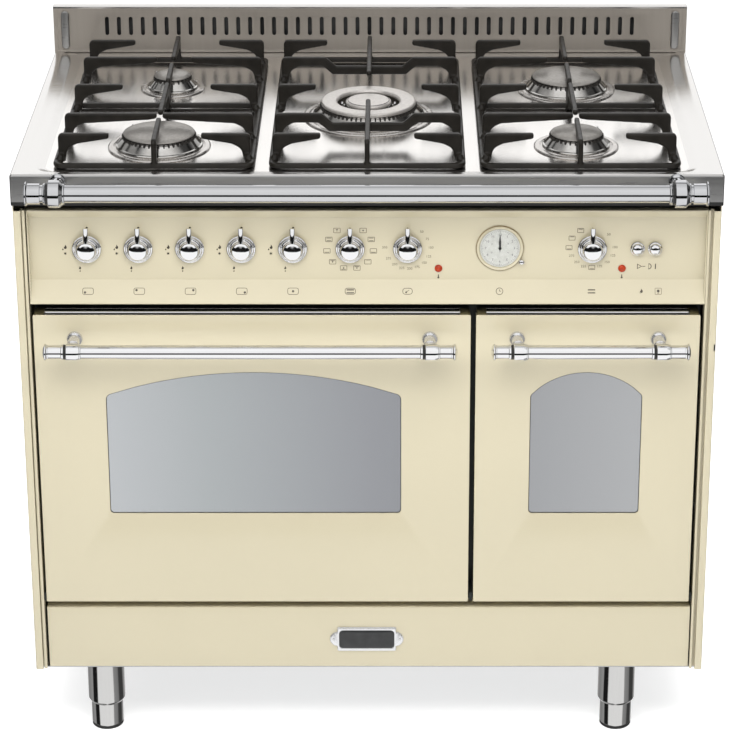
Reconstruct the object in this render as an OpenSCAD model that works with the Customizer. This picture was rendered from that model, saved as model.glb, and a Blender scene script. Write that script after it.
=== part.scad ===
// Free-standing range cooker with two ovens side by side, a pressed steel hob
// with five gas burners and three lift-off cast pan supports.
// Millimetres. X right, Y towards the wall, Z up. Origin: middle of the
// outline on the floor.

/* [Cabinet] */
// Width over the hob's pressed edge
cab_w = 1000; // [980:5:1040]
// Height of the hob's rim above the floor
top_z = 910; // [895:1:920]
// Height of the cabinet's underside above the floor
base_z = 121; // [115:1:150]
// Height of the hob's folded edge
lip_h = 46; // [35:1:50]
// Depth of the pressed well inside the hob's rim
well_d = 4; // [2:0.5:5]
// Thickness of the sheet steel
sheet = 1.5; // [1.2:0.1:2]
// Height of the rear upstand above the hob
upstand_h = 75; // [60:1:85]
// Number of vent slots in the upstand
vent_n = 45; // [25:2:47]

/* [Control panel] */
// Height of the controls' axis above the floor
knob_z = 792; // [782:1:800]
// Height of the panel's top edge
panel_top = 854; // [852:1:858]
// Height of the panel's bottom edge
panel_bot = 712; // [709:1:716]
// How far the flat field lies behind the panel's edges
panel_in = 16; // [10:1:18]
// Distance that a gas knob is pushed in before it turns
push_in = 3.5; // [2:0.5:4]
// Diameter of a control knob's skirt
knob_d = 42; // [36:1:46]
// Diameter of the clock's dial
dial_d = 58; // [50:1:60]

/* [Doors] */
// Height of the doors' bottom edge
door_z0 = 235; // [232:1:250]
// Height of the doors' top edge
door_z1 = 695; // [680:1:700]
// Depth of a door, outer skin to inner skin
door_t = 36; // [30:1:36]
// Height of the door handles' axis
handle_z = 659; // [640:1:668]
// Distance from a door's face to its handle's axis
handle_off = 50; // [44:1:52]
// Diameter of a door handle's tube
handle_d = 20; // [16:1:22]
// Height of a window's bottom edge
win_z0 = 381; // [370:1:400]
// Height of a window's shoulders, where its arch starts
win_z1 = 570; // [540:1:575]
// Rise of a window's arch
win_rise = 36; // [10:1:40]

/* [Hob rail] */
// Diameter of the towel rail's tube
rail_d = 25; // [18:1:26]
// Distance from the hob's edge to the rail's axis
rail_off = 50; // [45:1:50]

/* [Feet] */
// Diameter of the fixed leg tubes
leg_d = 56; // [50:1:60]
// Diameter of the height-adjusting inserts
foot_d = 48; // [40:1:50]
// Height of the lower end of the leg tubes
leg_z = 43; // [35:1:60]

/* [Hidden] */

cream = [0.87, 0.85, 0.74];
steel = [0.66, 0.65, 0.63];
chrome = [0.82, 0.82, 0.83];
iron = [0.13, 0.12, 0.11];
dark = [0.10, 0.10, 0.09];

hw = cab_w / 2;
lip_y = -265;            // face of the hob's front edge
rear_y = 335;            // back of the upstand
up_y = rear_y - 16;      // face of the upstand
skin_y = lip_y + 8;      // face of the doors
side_y = lip_y + 5;      // front edges of the side panels
edge_y = lip_y + 7;      // edges of the control panel
field_y = edge_y + panel_in; // flat field of the control panel
frame_y = lip_y + 49;    // face of the front frame
back_y = 300;            // face of the rear panel
well_z = top_z - well_d;

// burners: x, y, ring radius, head radius, cap radius
burners = [[-300, -131, 74.5, 50, 51.5], [-300, 142, 49.5, 26, 27.5], [0, 7, 97.5, 69, 70],
           [300, -131, 61.5, 36, 37.5], [300, 136, 75, 50, 51.5]];
cup_r = 0.66;            // cup radius as a share of the head's

gas_x = [-398, -325, -252, -179, -106];
func_x = -24.5;
therm_x = 57;
clock_x = 188;
small_x = 319;
lamp_x = [101, 362];
lamp_z = knob_z - 31;
light_x = 383;
spark_x = 408;
crown_x = 219;
crown_z = knob_z - 20;
spindle_r = 4;

main_x0 = -478; main_x1 = 147.5;
small_x0 = 155; small_x1 = 475.3;
main_wx0 = -378; main_wx1 = 48;
small_wx0 = 234.5; small_wx1 = 396;
hinge_y = skin_y + 7;
hinge_z = door_z0 + 6;
hinge_r = 3;

cav_z0 = 285; cav_z1 = 645; cav_y1 = 205;
main_c0 = -415; main_c1 = 85;
frame_top = 710;         // top of the front frame
small_c0 = 190; small_c1 = 440;
fan_x = (main_c0 + main_c1) / 2; fan_z = 465; grill_z = 628;
shelf_z = [385, 505];

sup_h = 44;              // top of the pan supports above the well
sup_z = well_z + sup_h;
rows = [-201, -111, 25, 161, 250];
feet_x = [-400, 376];    // centres of the legs across the width
feet_y = [-205, 255];

module box(x0, x1, y0, y1, z0, z1) translate([x0, y0, z0]) cube([x1 - x0, y1 - y0, z1 - z0]);
module ycyl(r, y0, y1, x, z, n = 64) translate([x, y1, z]) rotate([90, 0, 0]) cylinder(r = r, h = y1 - y0, $fn = n);
module xcyl(r, x0, x1, y, z, n = 48) translate([x0, y, z]) rotate([0, 90, 0]) cylinder(r = r, h = x1 - x0, $fn = n);
module zcyl(r, x, y, z0, z1, n = 64) translate([x, y, z0]) cylinder(r = r, h = z1 - z0, $fn = n);
// a flat shape in X and Z, thickened along Y
module xz(y0, t) translate([0, y0 + t, 0]) rotate([90, 0, 0]) linear_extrude(t) children();
// a flat shape in Y and Z, drawn out along X
module yz(x0, x1) translate([x0, 0, 0]) rotate([90, 0, 90]) linear_extrude(x1 - x0) children();
// a turned shape whose axis points out of the front
module turned_y(x, y, z) translate([x, y, z]) rotate([90, 0, 0]) rotate_extrude($fn = 96) children();
module turned_x(x, y, z) translate([x, y, z]) rotate([0, 90, 0]) rotate_extrude($fn = 64) children();
module slot2d(w, h) { square([w, h - w], center = true); for (s = [-1, 1]) translate([0, s * (h - w) / 2]) circle(d = w, $fn = 24); }
module round2d(x0, x1, y0, y1, r) {
  translate([x0 + r, y0]) square([x1 - x0 - 2 * r, y1 - y0]);
  translate([x0, y0 + r]) square([x1 - x0, y1 - y0 - 2 * r]);
  for (x = [x0 + r, x1 - r], y = [y0 + r, y1 - r]) translate([x, y]) circle(r = r, $fn = 32);
}
// window outline with an arched head; g widens it all round
module window2d(x0, x1, g = 0) {
  w = (x1 - x0) / 2;
  R = (w * w + win_rise * win_rise) / (2 * win_rise);
  translate([x0 - g, win_z0 - g]) square([x1 - x0 + 2 * g, win_z1 - win_z0 + g]);
  intersection() {
    translate([(x0 + x1) / 2, win_z1 + win_rise - R]) circle(r = R + g, $fn = 240);
    translate([x0 - g, win_z1 - 1]) square([x1 - x0 + 2 * g, win_rise + g + 2]);
  }
}

module worktop() color(steel) difference() {
  union() {
    difference() {
      box(-hw, hw, lip_y, up_y, top_z - lip_h, top_z);
      box(-hw + sheet, hw - sheet, lip_y + sheet, up_y + 1, top_z - lip_h - 1, top_z - sheet);
    }
    box(-hw + 44, hw - 44, lip_y + 11, up_y - 8, well_z - sheet, top_z);
  }
  box(-hw + 46, hw - 46, lip_y + 13, up_y - 10, well_z, top_z + 1);
  for (b = burners) zcyl(b[3] * cup_r + 0.5, b[0], b[1], well_z - 5, well_z + 5);
}

module splashback() color(steel) difference() {
  union() {
    box(-hw, hw, up_y, up_y + sheet, top_z - lip_h, top_z + upstand_h);
    box(-hw, hw, up_y, rear_y, top_z + upstand_h - sheet, top_z + upstand_h);
    box(-hw, hw, rear_y - sheet, rear_y, top_z - lip_h, top_z + upstand_h);
    box(-hw + 3.2, hw - 3.2, back_y + sheet + 0.1, rear_y, top_z - lip_h, top_z - lip_h + sheet);
    for (s = [-1, 1]) {
      x = s > 0 ? hw - sheet : -hw;
      box(x, x + sheet, up_y, rear_y, top_z - lip_h, top_z + upstand_h);
      box(s * 481.5 - 6, s * 481.5 + 6, up_y - 2, up_y + 0.5, top_z + 4, top_z + 60);
    }
  }
  for (i = [0 : vent_n - 1]) translate([(i - (vent_n - 1) / 2) * 18.85 - 1, 0, top_z + 42])
    xz(up_y - 1, sheet + 2) slot2d(6, 30);
}

// one finger along X from xa (outer, on its frame bar) to xb (tip)
module finger_x(xa, xb, y) {
  s = xb > xa ? 1 : -1;
  translate([0, y + 4.5, 0]) rotate([90, 0, 0]) linear_extrude(9)
    polygon([[xa, well_z + 1], [xa, sup_z - 5], [xa + s * 5, sup_z], [xb - s * 2, sup_z], [xb, sup_z - 3], [xb - s * 2, sup_z - 9],
      [xb - s * 20, sup_z - 14], [xa + s * 20, sup_z - 15], [xa + s * 11, sup_z - 22], [xa + s * 9, well_z + 1]]);
}
module finger_y(ya, yb, x) {
  s = yb > ya ? 1 : -1;
  translate([x - 4.5, 0, 0]) rotate([90, 0, 90]) linear_extrude(9)
    polygon([[ya, well_z + 1], [ya, sup_z - 5], [ya + s * 5, sup_z], [yb - s * 2, sup_z], [yb, sup_z - 3], [yb - s * 2, sup_z - 9],
      [yb - s * 18, sup_z - 14], [ya + s * 18, sup_z - 15], [ya + s * 11, sup_z - 22], [ya + s * 9, well_z + 1]]);
}
module grate_frame(x0, x1) {
  y0 = -233; y1 = 279;
  translate([0, 0, well_z + 1]) linear_extrude(7.5) difference() { round2d(x0, x1, y0, y1, 16); round2d(x0 + 10, x1 - 10, y0 + 10, y1 - 10, 8); }
}
// side support: m = 1 for the left one, -1 for the right one
module side_grate(m) mirror([m < 0 ? 1 : 0, 0, 0]) {
  x0 = -443; x1 = -159; c = -300;
  grate_frame(x0, x1);
  box(x0 + 5, x1 - 5, 39, 49, well_z + 1, well_z + 8.5);
  for (i = [0 : 4]) {
    long = (i == 1 || i == 3);
    finger_x(x0 + 6, long ? (i == 1 ? c - 8 : c - 24) : x0 + 78, rows[i]);
    finger_x(x1 - 6, long ? c + 27 : x1 - 76, rows[i]);
  }
  finger_y(-233, -129, c);
  finger_y(39, -99, c);
  finger_y(49, 134, c);
  finger_y(279, 162, c);
}
module pan_support_left() color(iron) side_grate(1);
module pan_support_right() color(iron) side_grate(-1);
module pan_support_centre() color(iron) {
  x0 = -139; x1 = 139; a0 = x0 + 5; a1 = x1 - 5;
  grate_frame(x0, x1);
  for (s = [-1, 1]) for (i = [0, 2, 4]) finger_x(s * a1, s * (i == 2 ? 78 : 66), rows[i]);
  // two bridges whose middles dip below the pan's base
  for (y = [rows[1], rows[3]]) translate([0, y + 4.5, 0]) rotate([90, 0, 0]) linear_extrude(9)
    polygon([[a0, well_z + 1], [a0, sup_z - 5], [a0 + 5, sup_z], [-67, sup_z], [-51, sup_z - 14], [51, sup_z - 14], [67, sup_z], [a1 - 5, sup_z],
      [a1, sup_z - 5], [a1, well_z + 1], [a1 - 9, well_z + 1], [a1 - 11, sup_z - 22], [a1 - 20, sup_z - 14], [71, sup_z - 14], [56, sup_z - 27],
      [-56, sup_z - 27], [-71, sup_z - 14], [a0 + 20, sup_z - 14], [a0 + 11, sup_z - 22], [a0 + 9, well_z + 1]]);
  finger_y(-233, -43, 0);
  finger_y(279, 87, 0);
}

module burner_cups() color(steel) for (b = burners) {
  rc = b[3] * cup_r;
  translate([b[0], b[1], well_z]) rotate_extrude($fn = 96)
    polygon([[rc - 2, -36], [4, -36], [4, -39], [rc, -39], [rc, 0], [b[2] - 1, 0], [b[2], 0.8], [b[2] - 1, 2.6], [rc - 2, 3]]);
}
module burner_heads() color(steel) for (b = burners) {
  h = b[3];
  translate([b[0], b[1], well_z + 3]) rotate_extrude($fn = 96)
    polygon([[h * cup_r - 2, 0], [b[4] + 11, 0], [b[4] + 11.6, 1.6], [b[4] + 10, 3], [b[4] - 1.5, 14.5], [b[4] - 2.5, 17], [b[4] * 0.9, 17],
      [b[4] * 0.9, 13], [h * cup_r - 2, 4]]);
  if (b[0] == 0) burner_inner_head();
}
module burner_inner_head() { b = burners[2]; translate([b[0], b[1], well_z + 3]) rotate_extrude($fn = 96)
  polygon([[20, 0], [46, 0], [46, 3], [38, 3], [32, 15], [32, 17], [28, 17], [28, 4], [20, 4]]); }
module burner_caps() color(iron) {
  for (i = [0, 1, 3, 4]) { b = burners[i]; translate([b[0], b[1], well_z + 20]) rotate_extrude($fn = 96)
    polygon([[0, 0], [b[4] - 1, 0], [b[4], 1.2], [b[4] - 0.6, 4], [b[4] - 5, 6.2], [0, 7]]); }
  b = burners[2];
  translate([b[0], b[1], well_z + 20]) rotate_extrude($fn = 96)
    polygon([[46, 0], [b[4] - 1, 0], [b[4], 1.2], [b[4] - 0.6, 4], [b[4] - 5, 6], [50, 6], [46, 3.4]]);
  translate([b[0], b[1], well_z + 20.2]) rotate_extrude($fn = 96)
    polygon([[0, 0], [33, 0], [34, 1.2], [33.4, 4], [30, 6], [0, 6.8]]);
}

// a tube along X with two collars whose posts run back to face_y; cc is the
// width of a collar's chamfers, er and el an end piece's radius and length
module bar_x(x0, x1, y, z, d, xc, cr, cw, cc, pr, face_y, er, el) {
  difference() { xcyl(d / 2, x0, x1, y, z); xcyl(d / 2 - 2, x0 + 3, x1 - 3, y, z); }
  for (x = xc) {
    difference() {
      union() {
        turned_x(x - cw / 2, y, z) polygon([[0, 0], [cr - cc, 0], [cr, cc], [cr, cw - cc], [cr - cc, cw], [0, cw]]);
        ycyl(pr, y, face_y, x, z);
        ycyl(pr + 4, face_y - 5, face_y, x, z);
      }
      xcyl(d / 2, x - cw, x + cw, y, z);
    }
  }
  for (e = [[x0 - el, 1], [x1 + el, -1]]) translate([e[0], y, z]) rotate([0, e[1] * 90, 0])
    rotate_extrude($fn = 64) polygon([[0, 0], [er * 0.6, 0.6], [er - 0.8, 2], [er, 3], [er, 5.2], [er - 2, 6.2], [er - 2, el], [0, el]]);
}
module hob_rail() color(chrome)
  bar_x(-451, 451, lip_y - rail_off, top_z - 10, rail_d, [-432, 433], 19.5, 30, 5, 9, lip_y, 17, 24);
module main_door_handle() color(chrome)
  bar_x(-451, 119, skin_y - handle_off, handle_z, handle_d, [-419, 89], 12.5, 28, 1.8, 8, skin_y, 12.4, 8.5);
module small_door_handle() color(chrome)
  bar_x(184, 449.5, skin_y - handle_off, handle_z, handle_d, [214, 416], 12.5, 28, 1.8, 8, skin_y, 12.4, 8.5);

module control_panel() color(cream) difference() {
  yz(-480, 480) polygon([[edge_y, panel_top], [field_y, panel_top - 15], [field_y, panel_bot + 32], [edge_y, panel_bot + 2], [edge_y, panel_bot],
    [edge_y + 14, panel_bot], [edge_y + 14, panel_bot + sheet], [edge_y + 2.6, panel_bot + sheet], [field_y + sheet, panel_bot + 32],
    [field_y + sheet, panel_top - 15], [edge_y + 2.4, panel_top - sheet], [edge_y + 14, panel_top - sheet], [edge_y + 14, panel_top]]);
  for (x = concat(gas_x, [func_x, therm_x, small_x])) ycyl(6, field_y - 2, field_y + 4, x, knob_z);
  ycyl(31.2, field_y - 2, field_y + 4, clock_x, knob_z);
  for (x = lamp_x) ycyl(4.6, field_y - 2, field_y + 4, x, lamp_z);
  for (x = [light_x, spark_x]) ycyl(9.4, field_y - 2, field_y + 4, x, knob_z);
  ycyl(2.6, field_y - 2, field_y + 4, crown_x, crown_z);
}

// knob: skirt, drum and pointer; gap is the space behind the skirt
module knob(x, gap) {
  R = knob_d / 2;
  difference() {
    union() {
      turned_y(x, field_y - gap, knob_z)
        polygon([[0, 0], [R - 0.4, 0], [R, 0.5], [R, 1.3], [R - 1, 2.4], [17.8, 3.3], [17.2, 4.4], [14.4, 4.8], [13.6, 5.8], [13.6, 10.2], [13.1, 11.6], [12, 12.5], [9.5, 13.4], [5, 14.4], [0, 14.8]]);
      // pointer fin, standing on the drum and rising to its upright tip
      translate([x - 3.2, field_y - gap, knob_z]) rotate([90, 0, 90]) linear_extrude(6.4)
        polygon([[-5, 6], [-11, 6], [-11, 13], [-12.6, 16], [-12.6, 31.4], [-11.2, 33.4], [-8.4, 33.4], [-5, 29]]);
    }
    ycyl(spindle_r + 0.05, field_y - gap - 11.6, field_y - gap + 1, x, knob_z, 48);
  }
}
knob_gap = push_in + 1;
module gas_knob_1() color(chrome) knob(gas_x[0], knob_gap);
module gas_knob_2() color(chrome) knob(gas_x[1], knob_gap);
module gas_knob_3() color(chrome) knob(gas_x[2], knob_gap);
module gas_knob_4() color(chrome) knob(gas_x[3], knob_gap);
module gas_knob_5() color(chrome) knob(gas_x[4], knob_gap);
module function_knob() color(chrome) knob(func_x, knob_gap);
module thermostat_knob() color(chrome) knob(therm_x, knob_gap);
module small_oven_knob() color(chrome) knob(small_x, knob_gap);

// spindle: slides in its valve, with a thrust collar in front of the valve
module spindle(x) {
  ycyl(spindle_r, field_y - knob_gap - 11, field_y + 24, x, knob_z, 48);
  ycyl(7, field_y + 3, field_y + 6, x, knob_z, 48);
}
module gas_spindle_1() color(steel) spindle(gas_x[0]);
module gas_spindle_2() color(steel) spindle(gas_x[1]);
module gas_spindle_3() color(steel) spindle(gas_x[2]);
module gas_spindle_4() color(steel) spindle(gas_x[3]);
module gas_spindle_5() color(steel) spindle(gas_x[4]);

valve_y = field_y + 12;
pipe_y = valve_y + 34;
module gas_manifold() color([0.72, 0.66, 0.45]) {
  for (x = gas_x) difference() {
    union() {
      ycyl(12, valve_y, valve_y + 20, x, knob_z);
      box(x - 11, x + 11, valve_y + 8, valve_y + 24, knob_z - 24, knob_z + 14);
    }
    ycyl(spindle_r + 0.05, valve_y - 1, valve_y + 19, x, knob_z, 48);
  }
  // feed pipe under the valves, along the left side and out of the back
  difference() { xcyl(9, -472, -90, valve_y + 16, knob_z - 32); xcyl(7, -470, -92, valve_y + 16, knob_z - 32); }
  box(-486, -460, valve_y + 4, valve_y + 28, knob_z - 46, knob_z - 20);
  difference() {
    ycyl(9, valve_y + 28, back_y + 4, -473, knob_z - 33);
    ycyl(7, valve_y + 30, back_y + 6, -473, knob_z - 33);
  }
  // inlet nipple behind the rear panel
  difference() {
    union() { ycyl(10.5, back_y + 5, rear_y - 4, -473, knob_z - 33); ycyl(16, back_y + sheet + 0.1, back_y + 6, -473, knob_z - 33); }
    ycyl(9, back_y, back_y + 4, -473, knob_z - 33);
    ycyl(7, back_y + 3, rear_y + 1, -473, knob_z - 33);
  }
}

// rotary switches and thermostats, each with its own fixed spindle, and the two push switches
module oven_controls() color([0.55, 0.56, 0.58]) {
  for (x = [func_x, therm_x, small_x]) {
    ycyl(spindle_r, field_y - knob_gap - 11, field_y + 13, x, knob_z, 48);
    ycyl(22, field_y + 12, field_y + 40, x, knob_z);
    box(x - 26, x + 26, field_y + 40, field_y + 44, knob_z - 18, knob_z + 18);
  }
  for (x = [light_x, spark_x]) box(x - 9, x + 9, field_y + 15, field_y + 38, knob_z - 12, knob_z + 12);
}

dial_y = field_y - 1;
module clock_case() color(chrome) {
  R = dial_d / 2;
  difference() {
    turned_y(clock_x, field_y, knob_z)
      polygon([[R, 0.2], [R + 5, 0.2], [R + 5, 2], [R + 3.4, 4.6], [R + 1, 5.4], [R, 4.6]]);
    // room for the crown at the bezel's lower right
    ycyl(4.7, field_y - 9, field_y - 0.3, crown_x, crown_z, 32);
  }
  // can behind the panel
  difference() {
    ycyl(R + 2, field_y - 0.2, field_y + 26, clock_x, knob_z, 96);
    ycyl(R, field_y - 1, field_y + 0.5, clock_x, knob_z, 96);
    ycyl(R - 2, field_y + 2.5, field_y + 24, clock_x, knob_z, 96);
    ycyl(2, field_y, field_y + 3, clock_x, knob_z, 32);
  }
  // dial plate and the hands' arbor
  ycyl(R - 0.1, dial_y, field_y + 0.5, clock_x, knob_z, 96);
  ycyl(1, field_y - 3.6, dial_y, clock_x, knob_z, 32);
}
module hand(l, w, y0, y1) {
  difference() {
    union() {
      ycyl(w * 1.2, y0, y1, clock_x, knob_z, 32);
      xz(y0, y1 - y0) translate([clock_x, knob_z]) polygon([[-w / 2, -4], [w / 2, -4], [w / 2, l * 0.6], [0, l], [-w / 2, l * 0.6]]);
    }
    ycyl(1.05, y0 - 1, y1 + 1, clock_x, knob_z, 32);
  }
}
// at rest both hands point straight up
module clock_hour_hand() color(dark) hand(14.5, 2.4, dial_y - 1.2, dial_y - 0.4);
module clock_minute_hand() color(dark) hand(21, 1.8, dial_y - 2.4, dial_y - 1.6);
module clock_crown() color(chrome) {
  ycyl(2, field_y - 3, field_y + 14, crown_x, crown_z, 32);
  turned_y(crown_x, field_y - 1.4, crown_z) polygon([[0, 0], [3.6, 0], [4.2, 1], [4.2, 5], [3.4, 6.2], [0, 6.8]]);
  ycyl(3.2, field_y + 6, field_y + 8, crown_x, crown_z, 32);
}

module pilot_lamps() color([0.82, 0.27, 0.10]) for (x = lamp_x) {
  turned_y(x, field_y, lamp_z) polygon([[0, 0.1], [5.6, 0.1], [5.6, 1], [4.6, 2.4], [2.6, 3.4], [0, 3.8]]);
  ycyl(4.5, field_y, field_y + 14, x, lamp_z, 48);
}
module push_button(x) {
  turned_y(x, field_y - push_in - 0.6, knob_z) polygon([[0, 0], [10, 0], [10.5, 0.8], [10.2, 3], [8, 5.4], [4.5, 6.8], [0, 7.2]]);
  ycyl(9, field_y - push_in - 0.6, field_y + 11, x, knob_z, 48);
}
module lamp_button() color(chrome) push_button(light_x);
module ignition_button() color(chrome) push_button(spark_x);

// side panel: outer skin, folded front edge, groove and inner strip
module side_panel(m, xg0, xg1, xi) mirror([m < 0 ? 1 : 0, 0, 0]) {
  X = hw - sheet - 0.1;
  box(X - 1.2, X, side_y, back_y - 0.2, base_z + 1.6, top_z - lip_h - 0.2);
  box(X - 1.2, X, side_y, up_y - 0.2, top_z - lip_h - 1, top_z - sheet - 0.1);
  difference() {
    box(xg1, X - 1, side_y, side_y + 1.2, base_z + 1.6, panel_top);
    if (m > 0) box(X - 3, X + 1, side_y - 1, side_y + 3, 640, 651);
  }
  box(xg1, xg1 + 1.2, side_y, side_y + 11, base_z + 1.6, panel_top);
  box(xg0, xg1 + 1.2, side_y + 10, side_y + 11.2, base_z + 1.6, panel_top);
  box(xg0 - 0.6, xg0 + 0.6, side_y + 3, side_y + 11.2, base_z + 1.6, panel_top);
  box(xi, xg0 + 0.6, side_y + 3, side_y + 4.2, base_z + 1.6, panel_top);
  box(xi, xi + 1.2, side_y + 3, side_y + 34, base_z + 1.6, panel_top);
  box(X - 16, X - 1, back_y - 1.4, back_y - 0.2, base_z + 1.6, top_z - lip_h - 0.2);
}
module side_panel_left() color(cream) side_panel(-1, 486.4, 487.6, 482);
module side_panel_right() color(cream) side_panel(1, 484, 488, 480.4);

module rear_panel() color(steel) difference() {
  union() {
    box(-hw + 2.8, hw - 2.8, back_y, back_y + sheet, base_z + 1.6, top_z - lip_h - 0.2);
    // raised channels stiffen the sheet
    for (x = [-330, 0, 330]) box(x - 20, x + 20, back_y + sheet, back_y + 6, 200, 700);
  }
  for (x = [-330, 0, 330]) box(x - 18.5, x + 18.5, back_y - 1, back_y + 4.5, 201.5, 698.5);
  ycyl(12, back_y - 2, back_y + 4, -473, knob_z - 33);
  ycyl(11, back_y - 2, back_y + 4, 440, knob_z - 40);
  for (x = [-450, 450]) ycyl(3, back_y - 2, back_y + 4, x, 840, 32);
  for (x = [-240 : 24 : 240]) for (z = [730, 800]) xz(back_y - 1, 5) translate([x, z]) slot2d(6, 46);
}
module base_pan() color(steel) {
  difference() {
    box(-hw + 2.8, hw - 2.8, lip_y + 15, back_y - 0.2, base_z, base_z + sheet);
    for (x = feet_x, y = feet_y) zcyl(12, x, y, base_z - 1, base_z + 3);
  }
  for (s = [-1, 1]) box(s > 0 ? 474 : -475.5, s > 0 ? 475.5 : -474, -200, back_y - 2, base_z + sheet, base_z + 40);
}
// front frame: flat bars welded round the two oven mouths
module front_frame() color(dark) {
  z0 = base_z + sheet + 0.1; z1 = frame_top; y1 = frame_y + sheet;
  box(-479, 479, frame_y, y1, z0, cav_z0);
  box(-479, 479, frame_y, y1, cav_z1, z1);
  box(-479, main_c0, frame_y, y1, cav_z0 + 0.1, cav_z1 - 0.1);
  box(main_c1, small_c0, frame_y, y1, cav_z0 + 0.1, cav_z1 - 0.1);
  box(small_c1, 479, frame_y, y1, cav_z0 + 0.1, cav_z1 - 0.1);
  // ledge between the doors and the control panel
  box(-479, 479, lip_y + 25, frame_y - 0.1, z1 - 4, z1 - 2.5);
  // cross rail under the hob: a flat bar and an edge strip
  box(-484, 484, lip_y + 24, lip_y + 25.5, panel_top + 1, top_z - 8);
  box(-484, 484, lip_y + 25.6, lip_y + 44, top_z - 9.5, top_z - 8);
  // hinge plates with the pins that the doors turn on
  for (p = [[-481.5, -478.9, -481.5, -464], [149.4, 153.1, 134, 169], [476.2, 478.9, 462, 478.9]]) {
    box(p[0], p[1], hinge_y - 5, frame_y - 0.1, hinge_z - 5, hinge_z + 8);
    xcyl(hinge_r, p[2], p[3], hinge_y, hinge_z, 48);
  }
}
module plinth_panel() color(cream) {
  box(-478.5, 478.5, lip_y + 13, lip_y + 14.2, base_z + sheet + 0.1, door_z0 - 12);
  box(-478.5, 478.5, lip_y + 13, frame_y - 0.1, door_z0 - 13.2, door_z0 - 12);
  box(-478.5, 478.5, lip_y + 13, lip_y + 40, base_z + sheet + 0.1, base_z + sheet + 1.3);
}
module name_plate() color(chrome) translate([-3, lip_y + 13, (base_z + door_z0 - 12) / 2 - 2]) rotate([90, 0, 0]) {
  difference() {
    linear_extrude(2) union() {
      round2d(-44, 44, -20, 20, 2);
      for (s = [-1, 1]) translate([s * 43, 0]) circle(r = 12, $fn = 64);
    }
    translate([0, 0, 1.4]) linear_extrude(2) round2d(-41, 41, -15, 15, 6);
  }
  for (s = [-1, 1]) translate([s * 49, 0, 2]) cylinder(r = 3, h = 1, $fn = 32);
}

feet = [for (x = feet_x, y = feet_y) [x, y]];
module leg_tubes() color(steel) for (p = feet) translate([p[0], p[1], 0]) rotate_extrude($fn = 96)
  polygon([[foot_d / 2 + 0.05, leg_z], [leg_d / 2 - 2.5, leg_z], [leg_d / 2, leg_z + 3], [leg_d / 2, base_z - 4], [leg_d / 2 + 5, base_z - 3], [leg_d / 2 + 5, base_z],
    [foot_d / 2 + 0.05, base_z]]);
module foot_inserts() color(steel) for (p = feet) translate([p[0], p[1], 0]) rotate_extrude($fn = 96)
  polygon([[0, 0], [foot_d / 2 - 1.6, 0], [foot_d / 2 - 0.4, 1.4], [foot_d / 2, 6], [foot_d / 2, leg_z + 60], [0, leg_z + 60]]);

module cavity(x0, x1) difference() {
  box(x0 - sheet, x1 + sheet, frame_y + sheet, cav_y1 + sheet, cav_z0 - sheet, cav_z1 + sheet);
  box(x0, x1, frame_y, cav_y1, cav_z0, cav_z1);
}
// the liners have holes for the fan's shaft and the grills' tails
module main_cavity() color([0.16, 0.17, 0.19]) difference() {
  cavity(main_c0, main_c1);
  ycyl(5, cav_y1 - 2, cav_y1 + 4, fan_x, fan_z);
  for (x = [-345, -45]) ycyl(4, cav_y1 - 2, cav_y1 + 4, x, grill_z, 32);
}
module small_cavity() color([0.16, 0.17, 0.19]) difference() {
  cavity(small_c0, small_c1);
  for (x = [235, 395]) ycyl(4, cav_y1 - 2, cav_y1 + 4, x, grill_z, 32);
}

module shelf(x0, x1, z, n) {
  for (x = [x0 + 8, x1 - 8]) ycyl(3, -206, 162, x, z, 24);
  for (y = [-206, 162]) xcyl(3, x0 + 8, x1 - 8, y, z, 24);
  for (i = [1 : n]) xcyl(2, x0 + 8, x1 - 8, -206 + i * 368 / (n + 1), z + 1, 24);
}
module wire_shelves() color(chrome) {
  for (z = shelf_z) shelf(main_c0, main_c1, z, 14);
  shelf(small_c0, small_c1, shelf_z[0], 14);
  shelf(small_c0, small_c1, shelf_z[1], 14);
}
module shelf_runners() color(steel) for (c = [[main_c0, main_c1], [small_c0, small_c1]], z = [325, shelf_z[0], 445, shelf_z[1], 565]) {
  box(c[0], c[0] + 13, -200, 160, z - 5.2, z - 3.2);
  box(c[1] - 13, c[1], -200, 160, z - 5.2, z - 3.2);
}
module fan_motor() color(steel) {
  ycyl(3, cav_y1 - 20, cav_y1 + 10, fan_x, fan_z, 48);
  ycyl(38, cav_y1 + 8, cav_y1 + 52, fan_x, fan_z);
  box(fan_x - 60, fan_x + 60, cav_y1 + sheet, cav_y1 + 5, fan_z - 12, fan_z + 12 - 16);
}
module fan_impeller() color(steel) {
  difference() {
    union() {
      ycyl(9, cav_y1 - 21, cav_y1 - 6, fan_x, fan_z, 48);
      ycyl(72, cav_y1 - 8, cav_y1 - 6.8, fan_x, fan_z, 96);
      for (i = [0 : 11]) translate([fan_x, 0, fan_z]) rotate([0, i * 30, 0]) box(36, 71, cav_y1 - 21, cav_y1 - 7.5, -0.7, 0.7);
    }
    ycyl(3.05, cav_y1 - 30, cav_y1 + 1, fan_x, fan_z, 48);
  }
}
module fan_cover() color([0.16, 0.17, 0.19]) difference() {
  box(fan_x - 110, fan_x + 110, cav_y1 - 32, cav_y1 - 0.1, fan_z - 110, fan_z + 110);
  box(fan_x - 108.8, fan_x + 108.8, cav_y1 - 30.8, cav_y1 + 1, fan_z - 108.8, fan_z + 108.8);
  for (x = [-40 : 16 : 40]) xz(cav_y1 - 34, 5) translate([fan_x + x, fan_z]) slot2d(8, 90 - abs(x));
  for (s = [-1, 1], z = [-80 : 20 : 80]) box(fan_x + s * 109.5 - 2, fan_x + s * 109.5 + 2, cav_y1 - 26, cav_y1 - 8, fan_z + z - 5, fan_z + z + 5);
}
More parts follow.
